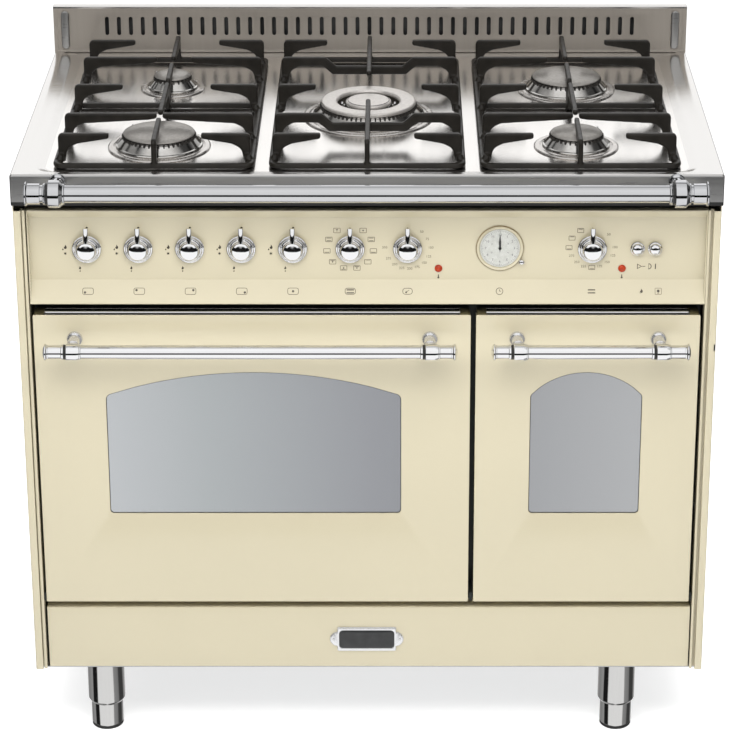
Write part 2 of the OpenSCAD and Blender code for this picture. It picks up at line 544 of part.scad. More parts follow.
// grill: long runs along Y joined by half-turn bends
module grill(xs, z) {
  for (x = xs) ycyl(3.6, -160, 120, x, z, 32);
  for (i = [0 : len(xs) - 2]) {
    r = (xs[i + 1] - xs[i]) / 2; front = (i % 2 == 0);
    translate([xs[i] + r, front ? -160 : 120, z]) rotate([0, 0, front ? 180 : 0]) rotate_extrude(angle = 180, $fn = 48) translate([r, 0]) circle(r = 3.6, $fn = 32);
  }
  for (x = [xs[0], xs[len(xs) - 1]]) ycyl(3.6, 119, cav_y1 + 20, x, z, 32);
}
module heating_elements() color([0.3, 0.27, 0.25]) {
  translate([fan_x, cav_y1 - 16, fan_z]) rotate([90, 0, 0]) rotate_extrude($fn = 96) translate([90, 0]) circle(r = 3.6, $fn = 32);
  grill([-345, -285, -225, -165, -105, -45], grill_z);
  grill([235, 288, 342, 395], grill_z);
}
module door_seals() color([0.25, 0.25, 0.25]) for (c = [[main_c0, main_c1], [small_c0, small_c1]]) xz(frame_y - 4, 4) difference() {
  round2d(c[0] - 14, c[1] + 14, cav_z0 - 14, cav_z1 + 14, 14);
  round2d(c[0] - 5, c[1] + 5, cav_z0 - 5, cav_z1 + 5, 8);
}

module door_panel(x0, x1, wx0, wx1) difference() {
  box(x0, x1, skin_y, skin_y + door_t - 4, door_z0, door_z1);
  box(x0 + 1.2, x1 - 1.2, skin_y + 1.2, skin_y + door_t, door_z0 + 1.2, door_z1 - 1.2);
  xz(skin_y - 1, 4) window2d(wx0, wx1);
  // clearance for the hinge pins
  for (x = [x0, x1]) xcyl(4.5, x - 3, x + 3, hinge_y, hinge_z, 48);
}
module door_window(wx0, wx1) {
  xz(skin_y + 1.3, 4) window2d(wx0, wx1, 9);
  xz(skin_y + door_t - 12, 4) translate([wx0 - 12, win_z0 - 12]) square([wx1 - wx0 + 24, win_z1 - win_z0 + win_rise + 24]);
}
// inner skin with its raised frame round the inner pane
module door_liner(x0, x1, wx0, wx1) {
  difference() {
    box(x0 + 1.4, x1 - 1.4, skin_y + door_t - 4, skin_y + door_t, door_z0 + 1.4, door_z1 - 1.4);
    box(x0 + 3.4, x1 - 3.4, skin_y + door_t - 5, skin_y + door_t - 1.5, door_z0 + 3.4, door_z1 - 3.4);
    box(wx0 - 4, wx1 + 4, skin_y + door_t - 5, skin_y + door_t + 2, win_z0 - 4, win_z1 + win_rise + 4);
  }
  // frame that holds both panes apart
  difference() {
    box(wx0 - 22, wx1 + 22, skin_y + 5.5, skin_y + door_t - 2, win_z0 - 22, win_z1 + win_rise + 22);
    box(wx0 - 12.2, wx1 + 12.2, skin_y + 5, skin_y + door_t - 1, win_z0 - 12.2, win_z1 + win_rise + 12.2);
  }
}
module hinge_block(x0, x1) difference() {
  box(x0, x1, skin_y + 1.3, skin_y + 20, door_z0 + 1.3, door_z0 + 60);
  xcyl(hinge_r + 0.05, x0 - 1, x1 + 1, hinge_y, hinge_z, 48);
  box(x0 + 2, x1 - 2, skin_y + 4, skin_y + 18, door_z0 + 16, door_z0 + 57);
}
module main_door_panel() color(cream) door_panel(main_x0, main_x1, main_wx0, main_wx1);
module main_door_window() color([0.72, 0.74, 0.76]) door_window(main_wx0, main_wx1);
module main_door_liner() color(steel) door_liner(main_x0, main_x1, main_wx0, main_wx1);
module main_door_hinges() color(steel) { hinge_block(main_x0 + 1.4, main_x0 + 19); hinge_block(main_x1 - 19, main_x1 - 1.4); }
module small_door_panel() color(cream) door_panel(small_x0, small_x1, small_wx0, small_wx1);
module small_door_window() color([0.72, 0.74, 0.76]) door_window(small_wx0, small_wx1);
module small_door_liner() color(steel) door_liner(small_x0, small_x1, small_wx0, small_wx1);
module small_door_hinges() color(steel) { hinge_block(small_x0 + 1.4, small_x0 + 19); hinge_block(small_x1 - 19, small_x1 - 1.4); }

worktop();
splashback();
pan_support_left();
pan_support_centre();
pan_support_right();
burner_cups();
burner_heads();
burner_caps();
hob_rail();
control_panel();
gas_knob_1();
gas_knob_2();
gas_knob_3();
gas_knob_4();
gas_knob_5();
function_knob();
thermostat_knob();
small_oven_knob();
gas_spindle_1();
gas_spindle_2();
gas_spindle_3();
gas_spindle_4();
gas_spindle_5();
gas_manifold();
oven_controls();
clock_case();
clock_minute_hand();
clock_hour_hand();
clock_crown();
pilot_lamps();
lamp_button();
ignition_button();
side_panel_left();
side_panel_right();
rear_panel();
base_pan();
front_frame();
plinth_panel();
name_plate();
leg_tubes();
foot_inserts();
main_cavity();
small_cavity();
wire_shelves();
shelf_runners();
fan_motor();
fan_impeller();
fan_cover();
heating_elements();
door_seals();
main_door_panel();
main_door_window();
main_door_liner();
main_door_handle();
main_door_hinges();
small_door_panel();
small_door_window();
small_door_liner();
small_door_handle();
small_door_hinges();
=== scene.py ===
import bpy, bmesh, math
from mathutils import Vector, Matrix


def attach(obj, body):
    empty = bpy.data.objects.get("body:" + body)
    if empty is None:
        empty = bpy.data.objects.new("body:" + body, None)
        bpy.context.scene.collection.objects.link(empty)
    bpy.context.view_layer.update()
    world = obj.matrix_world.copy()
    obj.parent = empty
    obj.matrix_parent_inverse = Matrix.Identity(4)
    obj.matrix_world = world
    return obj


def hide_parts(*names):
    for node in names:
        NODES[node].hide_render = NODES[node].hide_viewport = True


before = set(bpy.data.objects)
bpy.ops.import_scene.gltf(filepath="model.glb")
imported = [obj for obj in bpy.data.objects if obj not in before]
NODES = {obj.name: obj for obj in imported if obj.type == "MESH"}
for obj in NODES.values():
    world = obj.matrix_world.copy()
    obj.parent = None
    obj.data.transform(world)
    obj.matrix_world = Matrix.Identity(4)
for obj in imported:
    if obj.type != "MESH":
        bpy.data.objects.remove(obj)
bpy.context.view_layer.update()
scene = bpy.context.scene
MM = 0.001

# ------------------------------------------------------------------ sizes, in millimetres
LIP, REAR, UP, SKIN, SIDE, EDGE, FIELD, FRAME, BACK = -265., 335., 319., -257., -260., -258., -242., -216., 300.
TOP, WELL, BASE = 910., 906., 121.
PT, PB = 854., 712.
KZ = 792.
GAS_X = [-398., -325., -252., -179., -106.]
FUNC_X, THERM_X, CLOCK_X, SMALL_X = -24.5, 57., 188., 319.
LAMPS = [101., 362.]
LAMP_Z = 761.
LIGHT_X, SPARK_X, CROWN_X, CROWN_Z = 383., 408., 219., 772.
DZ0, DZ1 = 235., 695.
WZ0, WZ1 = 381., 570.
HZ, HOFF = 659., 50.
BURNERS = [(-300., -131., 74.5, 50., 51.5), (-300., 142., 49.5, 26., 27.5), (0., 7., 97.5, 69., 70.), (300., -131., 61.5, 36., 37.5), (300., 136., 75., 50., 51.5)]
SUPZ = WELL + 44.
ROWS = [-201., -111., 25., 161., 250.]
FEET = [(x, y) for x in (-400., 376.) for y in (-205., 255.)]


# ------------------------------------------------------------------ camera and light
def setup_camera():
    cam = bpy.data.cameras.new("camera")
    ob = bpy.data.objects.new("camera", cam)
    scene.collection.objects.link(ob)
    cam.sensor_width = 36.0
    cam.sensor_fit = "HORIZONTAL"
    cam.lens = 2862.46 * 36.0 / 736.0
    cam.shift_x = -0.035
    cam.shift_y = -0.12
    cam.clip_start, cam.clip_end = 0.1, 100
    pitch = math.radians(21.6508)
    ob.location = (0.0374, -4.0329, 2.2484)
    d = Vector((0, math.cos(pitch), -math.sin(pitch)))
    ob.rotation_euler = d.to_track_quat("-Z", "Y").to_euler()
    scene.camera = ob


def area(name, loc, target, sx, sy, power, color=(1, 1, 1), glossy=True):
    li = bpy.data.lights.new(name, "AREA")
    li.shape = "RECTANGLE"
    li.size, li.size_y = sx, sy
    li.energy = power
    li.color = color
    ob = bpy.data.objects.new(name, li)
    scene.collection.objects.link(ob)
    ob.location = loc
    ob.rotation_euler = (Vector(target) - Vector(loc)).to_track_quat("-Z", "Y").to_euler()
    ob.visible_camera = False
    ob.visible_glossy = glossy
    return ob


KEY_L, KEY_R, KEY_T, KEY_F, KEY_P = 22.0, 13.0, 50.0, 77.0, 13.2


def setup_light():
    """white studio: soft boxes all round, with the dark gaps between them that polished metal shows"""
    w = bpy.data.worlds.new("studio")
    scene.world = w
    w.use_nodes = True
    nt = w.node_tree
    nt.nodes.clear()

    def math_node(op, *ins):
        n = nt.nodes.new("ShaderNodeMath")
        n.operation = op
        for i, v in enumerate(ins):
            if isinstance(v, (int, float)):
                n.inputs[i].default_value = v
            else:
                nt.links.new(v, n.inputs[i])
        return n.outputs[0]

    def ramp(fac, stops):
        r = nt.nodes.new("ShaderNodeValToRGB")
        el = r.color_ramp.elements
        while len(el) > 1:
            el.remove(el[-1])
        el[0].position, el[0].color = stops[0][0], (stops[0][1],) * 3 + (1,)
        for p, v in stops[1:]:
            e = el.new(p)
            e.color = (v, v, v, 1)
        nt.links.new(fac, r.inputs[0])
        return r.outputs[0]

    out = nt.nodes.new("ShaderNodeOutputWorld")
    tc = nt.nodes.new("ShaderNodeTexCoord")
    sep = nt.nodes.new("ShaderNodeSeparateXYZ")
    nt.links.new(tc.outputs["Generated"], sep.inputs[0])
    x, y, z = sep.outputs
    # angle over the top: 0 the floor in front, 0.5 the horizon in front, 0.75 overhead, 1 the horizon behind
    over = math_node("ARCTAN2", z, math_node("MULTIPLY", y, -1.0))
    over = math_node("ADD", math_node("MULTIPLY", over, 0.5 / math.pi), 0.5)
    deg = lambda d: 0.5 + d / 360.0
    front = ramp(over, [(0.0, 0.5), (deg(-120), 0.85), (deg(-60), 1.0), (deg(-20), 1.0), (deg(-18.5), 0.010), (deg(3.5), 0.010), (deg(5.5), 0.92), (deg(64), 1.0), (deg(88), 0.82), (deg(114), 0.74), (deg(117), 0.12), (deg(124), 0.14),
                        (deg(130), 1.0), (deg(166), 1.1), (deg(180), 0.90)])
    # angle round the side: 0.5 straight ahead, under 0.5 to the left
    rnd = math_node("ARCTAN2", x, math_node("MULTIPLY", y, -1.0))
    rnd = math_node("ADD", math_node("MULTIPLY", rnd, 0.5 / math.pi), 0.5)
    side = ramp(rnd, [(0.0, 1.0), (deg(-162), 1.0), (deg(-154), 0.55), (deg(-132), 0.36), (deg(-94), 0.42), (deg(-89), 0.015), (deg(-58), 0.015), (deg(-53), 1.0), (deg(49), 1.0), (deg(53), 0.34), (deg(84), 0.26),
                      (deg(92), 0.07), (deg(126), 0.07), (deg(138), 0.45), (deg(154), 0.55), (deg(162), 1.0), (1.0, 1.0)])
    # near the zenith the side gaps close
    top = ramp(z, [(0.0, 0.0), (0.78, 0.0), (0.92, 1.0), (1.0, 1.0)])
    mix = nt.nodes.new("ShaderNodeMix")
    mix.data_type = "FLOAT"
    nt.links.new(top, mix.inputs[0])
    nt.links.new(side, mix.inputs[2])
    mix.inputs[3].default_value = 1.0
    studio = math_node("MULTIPLY", front, mix.outputs[0])
    bg_gloss = nt.nodes.new("ShaderNodeBackground")
    nt.links.new(studio, bg_gloss.inputs[0])
    bg_gloss.inputs[1].default_value = 1.0
    # soft even fill for matt surfaces
    bg_soft = nt.nodes.new("ShaderNodeBackground")
    soft = ramp(z, [(0.0, 0.14), (0.45, 0.34), (1.0, 0.80)])
    nt.links.new(soft, bg_soft.inputs[0])
    bg_soft.inputs[1].default_value = 0.85
    bg_back = nt.nodes.new("ShaderNodeBackground")
    bg_back.inputs[0].default_value = (1.0, 1.0, 1.0, 1)
    lp = nt.nodes.new("ShaderNodeLightPath")
    m1 = nt.nodes.new("ShaderNodeMixShader")
    m2 = nt.nodes.new("ShaderNodeMixShader")
    nt.links.new(lp.outputs["Is Glossy Ray"], m1.inputs[0])
    nt.links.new(bg_soft.outputs[0], m1.inputs[1])
    nt.links.new(bg_gloss.outputs[0], m1.inputs[2])
    nt.links.new(lp.outputs["Is Camera Ray"], m2.inputs[0])
    nt.links.new(m1.outputs[0], m2.inputs[1])
    nt.links.new(bg_back.outputs[0], m2.inputs[2])
    nt.links.new(m2.outputs[0], out.inputs[0])
    area("key_left", (-3.0, -2.6, 3.2), (0, 0, 0.6), 2.4, 2.4, KEY_L, glossy=False)
    area("key_right", (3.2, -2.4, 2.9), (0, 0, 0.6), 2.2, 2.4, KEY_R, glossy=False)
    area("top_back", (0, 1.6, 3.4), (0, 0, 0.9), 4.2, 1.6, KEY_T, glossy=False)
    area("front_fill", (0, -2.7, 4.7), (0, -0.2, 0.5), 3.6, 2.0, KEY_F, glossy=False)
    area("panel_fill", (0, -1.25, 1.62), (0, -0.25, 0.78), 1.5, 0.6, KEY_P, (1.0, 0.985, 0.95), False)
    # a broad pale floor
    me = bpy.data.meshes.new("floor")
    s = 14.0
    me.from_pydata([(-s, -s, 0), (s, -s, 0), (s, s, 0), (-s, s, 0)], [], [(0, 1, 2, 3)])
    fl = bpy.data.objects.new("floor", me)
    scene.collection.objects.link(fl)
    m, nt, b = principled("floor_paint", (0.80, 0.80, 0.795), 0, 0.6)
    # a light table: the floor glows a little of its own
    b.inputs["Emission Color"].default_value = (1, 1, 1, 1)
    b.inputs["Emission Strength"].default_value = 0.62
    b.inputs["Specular IOR Level"].default_value = 0.25
    nt.links.new(ramp_color(nt, noise(nt, 0.7, 3), [(0.3, (0.79, 0.79, 0.786)), (0.7, (0.81, 0.81, 0.806))]), b.inputs["Base Color"])
    me.materials.append(m)
    # polished metal mirrors the soft boxes and gaps instead of the table
    fl.visible_glossy = False
    scene.view_settings.view_transform = "Standard"
    scene.view_settings.look = "None"


# ------------------------------------------------------------------ materials
def principled(name, base, metallic, rough):
    m = bpy.data.materials.new(name)
    m.use_nodes = True
    nt = m.node_tree
    b = nt.nodes["Principled BSDF"]
    b.inputs["Base Color"].default_value = (*base, 1)
    b.inputs["Metallic"].default_value = metallic
    b.inputs["Roughness"].default_value = rough
    return m, nt, b


def lin(h):
    h = h.lstrip("#")
    c = [int(h[i:i + 2], 16) / 255 for i in (0, 2, 4)]
    return tuple(x / 12.92 if x <= 0.04045 else ((x + 0.055) / 1.055) ** 2.4 for x in c)


def coords(nt, scale=(1, 1, 1)):
    tc = nt.nodes.new("ShaderNodeTexCoord")
    mp = nt.nodes.new("ShaderNodeMapping")
    mp.inputs["Scale"].default_value = scale
    nt.links.new(tc.outputs["Object"], mp.inputs[0])
    return mp.outputs[0]


def noise(nt, scale, detail=3, stretch=(1, 1, 1), rough=0.55):
    n = nt.nodes.new("ShaderNodeTexNoise")
    n.inputs["Scale"].default_value = scale
    n.inputs["Detail"].default_value = detail
    n.inputs["Roughness"].default_value = rough
    nt.links.new(coords(nt, stretch), n.inputs["Vector"])
    return n.outputs["Fac"]


def ramp_color(nt, fac, stops):
    r = nt.nodes.new("ShaderNodeValToRGB")
    el = r.color_ramp.elements
    while len(el) > 1:
        el.remove(el[-1])
    el[0].position, el[0].color = stops[0][0], (*stops[0][1], 1)
    for p, c in stops[1:]:
        e = el.new(p)
        e.color = (*c, 1)
    nt.links.new(fac, r.inputs[0])
    return r.outputs[0]


def map_range(nt, fac, lo, hi, flo=0.3, fhi=0.7):
    r = nt.nodes.new("ShaderNodeMapRange")
    r.inputs["From Min"].default_value = flo
    r.inputs["From Max"].default_value = fhi
    r.inputs["To Min"].default_value = lo
    r.inputs["To Max"].default_value = hi
    nt.links.new(fac, r.inputs["Value"])
    return r.outputs["Result"]


def bump(nt, b, fac, strength, distance, prev=None):
    n = nt.nodes.new("ShaderNodeBump")
    n.inputs["Strength"].default_value = strength
    n.inputs["Distance"].default_value = distance
    nt.links.new(fac, n.inputs["Height"])
    if prev is not None:
        nt.links.new(prev, n.inputs["Normal"])
    nt.links.new(n.outputs[0], b.inputs["Normal"])
    return n.outputs[0]


def mul(c, k):
    return tuple(min(1.0, x * k) for x in c)


M = {}


def make_materials():
    # vitreous cream enamel: glossy glaze over steel, with a faint orange-peel
    base = mul(lin("#D8CFB3"), 0.845)
    m, nt, b = principled("enamel_cream", base, 0, 0.22)
    n1 = noise(nt, 2.2, 4)
    nt.links.new(ramp_color(nt, n1, [(0.30, mul(base, 0.965)), (0.55, base), (0.75, mul(base, 1.02))]), b.inputs["Base Color"])
    n2 = noise(nt, 190, 2)
    p = bump(nt, b, n2, 0.10, 0.0004)
    n3 = noise(nt, 900, 2)
    bump(nt, b, n3, 0.04, 0.0001, p)
    nt.links.new(map_range(nt, noise(nt, 9, 5), 0.17, 0.27), b.inputs["Roughness"])
    b.inputs["Coat Weight"].default_value = 0.7
    b.inputs["Coat Roughness"].default_value = 0.05
    b.inputs["Specular IOR Level"].default_value = 0.5
    M["enamel"] = m

    def brushed(name, base, rough, stretch, var=0.10, bmp=0.05, metal=1.0):
        m, nt, b = principled(name, base, metal, rough)
        f = noise(nt, 1.0, 4, stretch, 0.7)
        nt.links.new(ramp_color(nt, f, [(0.25, mul(base, 1 - var)), (0.5, base), (0.75, mul(base, 1 + var * 0.8))]), b.inputs["Base Color"])
        nt.links.new(map_range(nt, f, rough - 0.05, rough + 0.07), b.inputs["Roughness"])
        p = bump(nt, b, f, bmp, 0.00012)
        g = noise(nt, 3.0, 3)
        bump(nt, b, g, 0.05, 0.0015, p)
        return m
    # pressed steel of the hob, brushed from side to side
    M["steel_x"] = brushed("steel_brushed_x", (0.83, 0.815, 0.795), 0.17, (5, 420, 420), 0.012, 0.004)
    # painted shade: a darker copy of the brushed steel for the hob's folded front edge and the upstand's end beads
    M["steel_lip"] = brushed("steel_lip", (0.43, 0.427, 0.422), 0.30, (5, 300, 300), 0.04, 0.015)
    M["steel_up"] = brushed("steel_brushed_upright", (0.50, 0.48, 0.455), 0.30, (700, 700, 8), 0.08, 0.05)
    # painted shade: a dark, mostly dull copy of the brushed steel for the upstand's upright faces, standing in for
    # their dim reflection
    M["steel_splash"] = brushed("steel_upstand_painted_shade", (0.290, 0.263, 0.232), 0.34, (120, 120, 4), 0.05, 0.012, 0.25)
    M["steel_leg"] = brushed("steel_leg", (0.66, 0.655, 0.645), 0.08, (900, 900, 14), 0.04, 0.006)
    M["steel_well"] = brushed("steel_well", (0.96, 0.935, 0.905), 0.19, (26, 3, 26), 0.02, 0.002)
    M["steel_disc"] = brushed("steel_disc", (0.74, 0.71, 0.68), 0.23, (90, 90, 90), 0.05, 0.01)
    M["steel_edge"] = brushed("steel_edge", (0.70, 0.70, 0.69), 0.30, (8, 500, 500), 0.05, 0.03)
    # turned aluminium with fine rings
    m, nt, b = principled("aluminium_turned", (0.72, 0.70, 0.675), 1.0, 0.20)
    f = noise(nt, 1.0, 3, (160, 160, 2600), 0.6)
    nt.links.new(map_range(nt, f, 0.08, 0.17), b.inputs["Roughness"])
    bump(nt, b, f, 0.06, 0.0001)
    nt.links.new(ramp_color(nt, noise(nt, 60, 3), [(0.3, (0.60, 0.58, 0.55)), (0.7, (0.78, 0.765, 0.74))]), b.inputs["Base Color"])
    M["alu"] = m
    # satin cap, slightly mottled
    m, nt, b = principled("burner_cap_satin", (0.36, 0.34, 0.32), 0.85, 0.38)
    nt.links.new(ramp_color(nt, noise(nt, 260, 4), [(0.3, (0.36, 0.34, 0.315)), (0.7, (0.46, 0.44, 0.415))]), b.inputs["Base Color"])
    nt.links.new(map_range(nt, noise(nt, 90, 4), 0.32, 0.46), b.inputs["Roughness"])
    bump(nt, b, noise(nt, 1500, 2), 0.15, 0.00008)
    M["cap"] = m
    m, nt, b = principled("burner_cap_pale", (0.62, 0.59, 0.56), 0.75, 0.36)
    nt.links.new(ramp_color(nt, noise(nt, 260, 4), [(0.3, (0.60, 0.57, 0.54)), (0.7, (0.70, 0.67, 0.64))]), b.inputs["Base Color"])
    bump(nt, b, noise(nt, 1500, 2), 0.15, 0.00008)
    M["cap_pale"] = m
    # cast iron with matt enamel
    m, nt, b = principled("cast_iron_enamel", (0.022, 0.020, 0.018), 0, 0.42)
    nt.links.new(ramp_color(nt, noise(nt, 45, 4), [(0.3, (0.0075, 0.0064, 0.005)), (0.7, (0.016, 0.0138, 0.011))]), b.inputs["Base Color"])
    nt.links.new(map_range(nt, noise(nt, 120, 4), 0.28, 0.42), b.inputs["Roughness"])
    p = bump(nt, b, noise(nt, 700, 3), 0.32, 0.0004)
    bump(nt, b, noise(nt, 70, 3), 0.10, 0.002, p)
    b.inputs["Specular IOR Level"].default_value = 0.30
    M["iron"] = m

    def chrome(name, base, r0, r1):
        m, nt, b = principled(name, base, 1.0, r0)
        nt.links.new(map_range(nt, noise(nt, 35, 5), r0, r1), b.inputs["Roughness"])
        nt.links.new(ramp_color(nt, noise(nt, 16, 3), [(0.3, mul(base, 0.975)), (0.7, base)]), b.inputs["Base Color"])
        bump(nt, b, noise(nt, 60, 3), 0.02, 0.0002)
        return m
    M["chrome"] = chrome("chrome_polished", (0.93, 0.93, 0.94), 0.03, 0.07)
    M["chrome_rail"] = chrome("chrome_rail", (0.66, 0.665, 0.68), 0.04, 0.08)
    M["chrome_satin"] = chrome("chrome_satin", (0.80, 0.80, 0.80), 0.12, 0.2)
    M["chrome_post"] = chrome("chrome_post", (0.74, 0.74, 0.76), 0.10, 0.2)
    M["chrome_post"].node_tree.nodes["Principled BSDF"].inputs["Metallic"].default_value = 0.8
    M["chrome_plate"] = chrome("chrome_plate", (0.93, 0.93, 0.94), 0.16, 0.24)
    M["brass"] = chrome("brass_dull", (0.62, 0.47, 0.20), 0.18, 0.32)
    M["zinc"] = chrome("zinc_plated", (0.55, 0.56, 0.57), 0.28, 0.42)
    # mirrored oven glass: a reflective layer behind a clear face, with a painted reflection in its base colour
    m, nt, b = principled("oven_glass_painted_reflection", lin("#A9ABB0"), 0.9, 0.16)
    sx = nt.nodes.new("ShaderNodeSeparateXYZ")
    nt.links.new(coords(nt), sx.inputs[0])
    painted_reflection_wobble = nt.nodes.new("ShaderNodeMath")
    painted_reflection_wobble.operation = "MULTIPLY_ADD"
    nt.links.new(noise(nt, 1.6, 2), painted_reflection_wobble.inputs[0])
    painted_reflection_wobble.inputs[1].default_value = 0.05
    nt.links.new(sx.outputs[0], painted_reflection_wobble.inputs[2])
    # painted reflection: the base colour runs lighter towards both ends and darkest just right of the middle along X
    across = map_range(nt, painted_reflection_wobble.outputs[0], 0.0, 1.0, -0.40, 0.45)
    nt.links.new(ramp_color(nt, across, [(0.02, lin("#BEC1C4")), (0.22, lin("#AAAFB1")), (0.50, lin("#93959A")), (0.56, lin("#8F9196")), (0.74, lin("#9B9DA0")), (0.95, lin("#ABADAF"))]), b.inputs["Base Color"])
    nt.links.new(map_range(nt, noise(nt, 4, 3), 0.07, 0.10), b.inputs["Roughness"])
    b.inputs["Coat Weight"].default_value = 1.0
    b.inputs["Coat Roughness"].default_value = 0.02
    M["glass_oven_painted_reflection"] = m
    m, nt, b = principled("glass_inner", (0.16, 0.17, 0.18), 0.3, 0.06)
    nt.links.new(map_range(nt, noise(nt, 6, 3), 0.04, 0.12), b.inputs["Roughness"])
    b.inputs["Coat Weight"].default_value = 1.0
    b.inputs["Coat Roughness"].default_value = 0.03
    M["glass_inner"] = m
    m, nt, b = principled("clock_glass", (1, 1, 1), 0, 0.02)
    nt.links.new(map_range(nt, noise(nt, 30, 3), 0.01, 0.035), b.inputs["Roughness"])
    b.inputs["Transmission Weight"].default_value = 1.0
    b.inputs["IOR"].default_value = 1.12
    M["glass_clear"] = m
    # dial: silvered, with a fine turned grain
    m, nt, b = principled("dial_silver", lin("#C6C7C2"), 0.25, 0.42)
    nt.links.new(ramp_color(nt, noise(nt, 220, 3), [(0.3, lin("#BDBEB8")), (0.7, lin("#CCCDC8"))]), b.inputs["Base Color"])
    bump(nt, b, noise(nt, 1800, 2), 0.1, 0.00005)
    M["dial"] = m
    m, nt, b = principled("ink_brown", lin("#4A4238"), 0, 0.5)
    nt.links.new(ramp_color(nt, noise(nt, 300, 2), [(0.3, lin("#423A31")), (0.7, lin("#544B40"))]), b.inputs["Base Color"])
    M["ink"] = m
    m, nt, b = principled("ink_grey", lin("#5A595E"), 0, 0.5)
    nt.links.new(ramp_color(nt, noise(nt, 300, 2), [(0.3, lin("#4E4E52")), (0.7, lin("#646468"))]), b.inputs["Base Color"])
    M["ink_grey"] = m
    m, nt, b = principled("black_satin", (0.012, 0.012, 0.012), 0, 0.35)
    nt.links.new(map_range(nt, noise(nt, 80, 3), 0.3, 0.45), b.inputs["Roughness"])
    M["black"] = m
    m, nt, b = principled("dark_frame", (0.014, 0.018, 0.016), 0.2, 0.38)
    nt.links.new(ramp_color(nt, noise(nt, 30, 3), [(0.3, (0.010, 0.013, 0.012)), (0.7, (0.022, 0.027, 0.024))]), b.inputs["Base Color"])
    M["dark"] = m
    m, nt, b = principled("lamp_orange", lin("#D2421A"), 0, 0.25)
    nt.links.new(ramp_color(nt, noise(nt, 160, 2), [(0.3, lin("#942606")), (0.7, lin("#B43A0E"))]), b.inputs["Base Color"])
    b.inputs["Coat Weight"].default_value = 0.3
    b.inputs["Emission Color"].default_value = (*lin("#D03A10"), 1)
    b.inputs["Emission Strength"].default_value = 0.05
    M["lamp"] = m
    # oven lining: blue-black enamel with pale specks
    m, nt, b = principled("oven_enamel", (0.03, 0.033, 0.04), 0, 0.28)
    v = nt.nodes.new("ShaderNodeTexVoronoi")
    v.inputs["Scale"].default_value = 260
    nt.links.new(coords(nt), v.inputs["Vector"])
    nt.links.new(ramp_color(nt, v.outputs["Distance"], [(0.0, (0.16, 0.17, 0.18)), (0.13, (0.10, 0.105, 0.115)), (0.2, (0.028, 0.030, 0.036))]), b.inputs["Base Color"])
    bump(nt, b, noise(nt, 400, 3), 0.08, 0.0003)
    M["oven"] = m
    m, nt, b = principled("seal_weave", (0.035, 0.035, 0.034), 0, 0.8)
    w = nt.nodes.new("ShaderNodeTexWave")
    w.inputs["Scale"].default_value = 160
    w.inputs["Distortion"].default_value = 0.6
    nt.links.new(coords(nt), w.inputs["Vector"])
    bump(nt, b, w.outputs["Fac"], 0.5, 0.0006)
    nt.links.new(ramp_color(nt, w.outputs["Fac"], [(0.2, (0.02, 0.02, 0.02)), (0.8, (0.06, 0.06, 0.058))]), b.inputs["Base Color"])
    M["seal"] = m
    m, nt, b = principled("rubber_foot", (0.02, 0.02, 0.02), 0, 0.7)
    nt.links.new(ramp_color(nt, noise(nt, 200, 3), [(0.3, (0.014, 0.014, 0.014)), (0.7, (0.03, 0.03, 0.03))]), b.inputs["Base Color"])
    bump(nt, b, noise(nt, 900, 2), 0.2, 0.0002)
    M["rubber"] = m
    m, nt, b = principled("element_scale", (0.09, 0.075, 0.065), 0.4, 0.55)
    nt.links.new(ramp_color(nt, noise(nt, 120, 4), [(0.3, (0.06, 0.05, 0.045)), (0.7, (0.13, 0.105, 0.085))]), b.inputs["Base Color"])
    bump(nt, b, noise(nt, 900, 3), 0.2, 0.0002)
    M["element"] = m
    # sooty dark metal for the port teeth; the same colour paints the shade in the band behind them
    m, nt, b = principled("port_soot_and_shade", (0.03, 0.028, 0.026), 0.4, 0.5)
    nt.links.new(ramp_color(nt, noise(nt, 300, 3), [(0.3, (0.018, 0.017, 0.016)), (0.7, (0.055, 0.05, 0.046))]), b.inputs["Base Color"])
    M["port"] = m
    m, nt, b = principled("bead_bronze", (0.36, 0.27, 0.15), 0.8, 0.35)
    nt.links.new(ramp_color(nt, noise(nt, 220, 3), [(0.3, (0.26, 0.19, 0.10)), (0.7, (0.42, 0.32, 0.18))]), b.inputs["Base Color"])
    M["bead"] = m
    m, nt, b = principled("lamp_rim_orange", lin("#A8320F"), 0, 0.3)
    nt.links.new(ramp_color(nt, noise(nt, 200, 2), [(0.3, lin("#982C0C")), (0.7, lin("#B83C16"))]), b.inputs["Base Color"])
    M["lamp_rim"] = m
    m, nt, b = principled("plate_enamel_dark", (0.020, 0.021, 0.022), 0, 0.3)
    nt.links.new(ramp_color(nt, noise(nt, 60, 3), [(0.3, (0.014, 0.015, 0.016)), (0.7, (0.030, 0.031, 0.033))]), b.inputs["Base Color"])
    bump(nt, b, noise(nt, 900, 2), 0.25, 0.00008)
    b.inputs["Coat Weight"].default_value = 0.25
    M["plate_dark"] = m
    # painted shade: dark greenish-brown enamel for the door's end caps, standing in for the shade under the control
    # panel
    m, nt, b = principled("enamel_painted_shade_dark", lin("#5A543C"), 0, 0.35)
    nt.links.new(ramp_color(nt, noise(nt, 40, 3), [(0.3, lin("#4C4632")), (0.7, lin("#665F44"))]), b.inputs["Base Color"])
    M["olive"] = m
    m, nt, b = principled("ink_dark_brown", lin("#2A2014"), 0, 0.5)
    nt.links.new(ramp_color(nt, noise(nt, 300, 2), [(0.3, lin("#221A10")), (0.7, lin("#35291B"))]), b.inputs["Base Color"])
    M["ink_dark"] = m
    m, nt, b = principled("ceramic_white", (0.80, 0.79, 0.76), 0, 0.35)
    nt.links.new(ramp_color(nt, noise(nt, 150, 3), [(0.3, (0.76, 0.75, 0.72)), (0.7, (0.84, 0.83, 0.80))]), b.inputs["Base Color"])
    M["ceramic"] = m


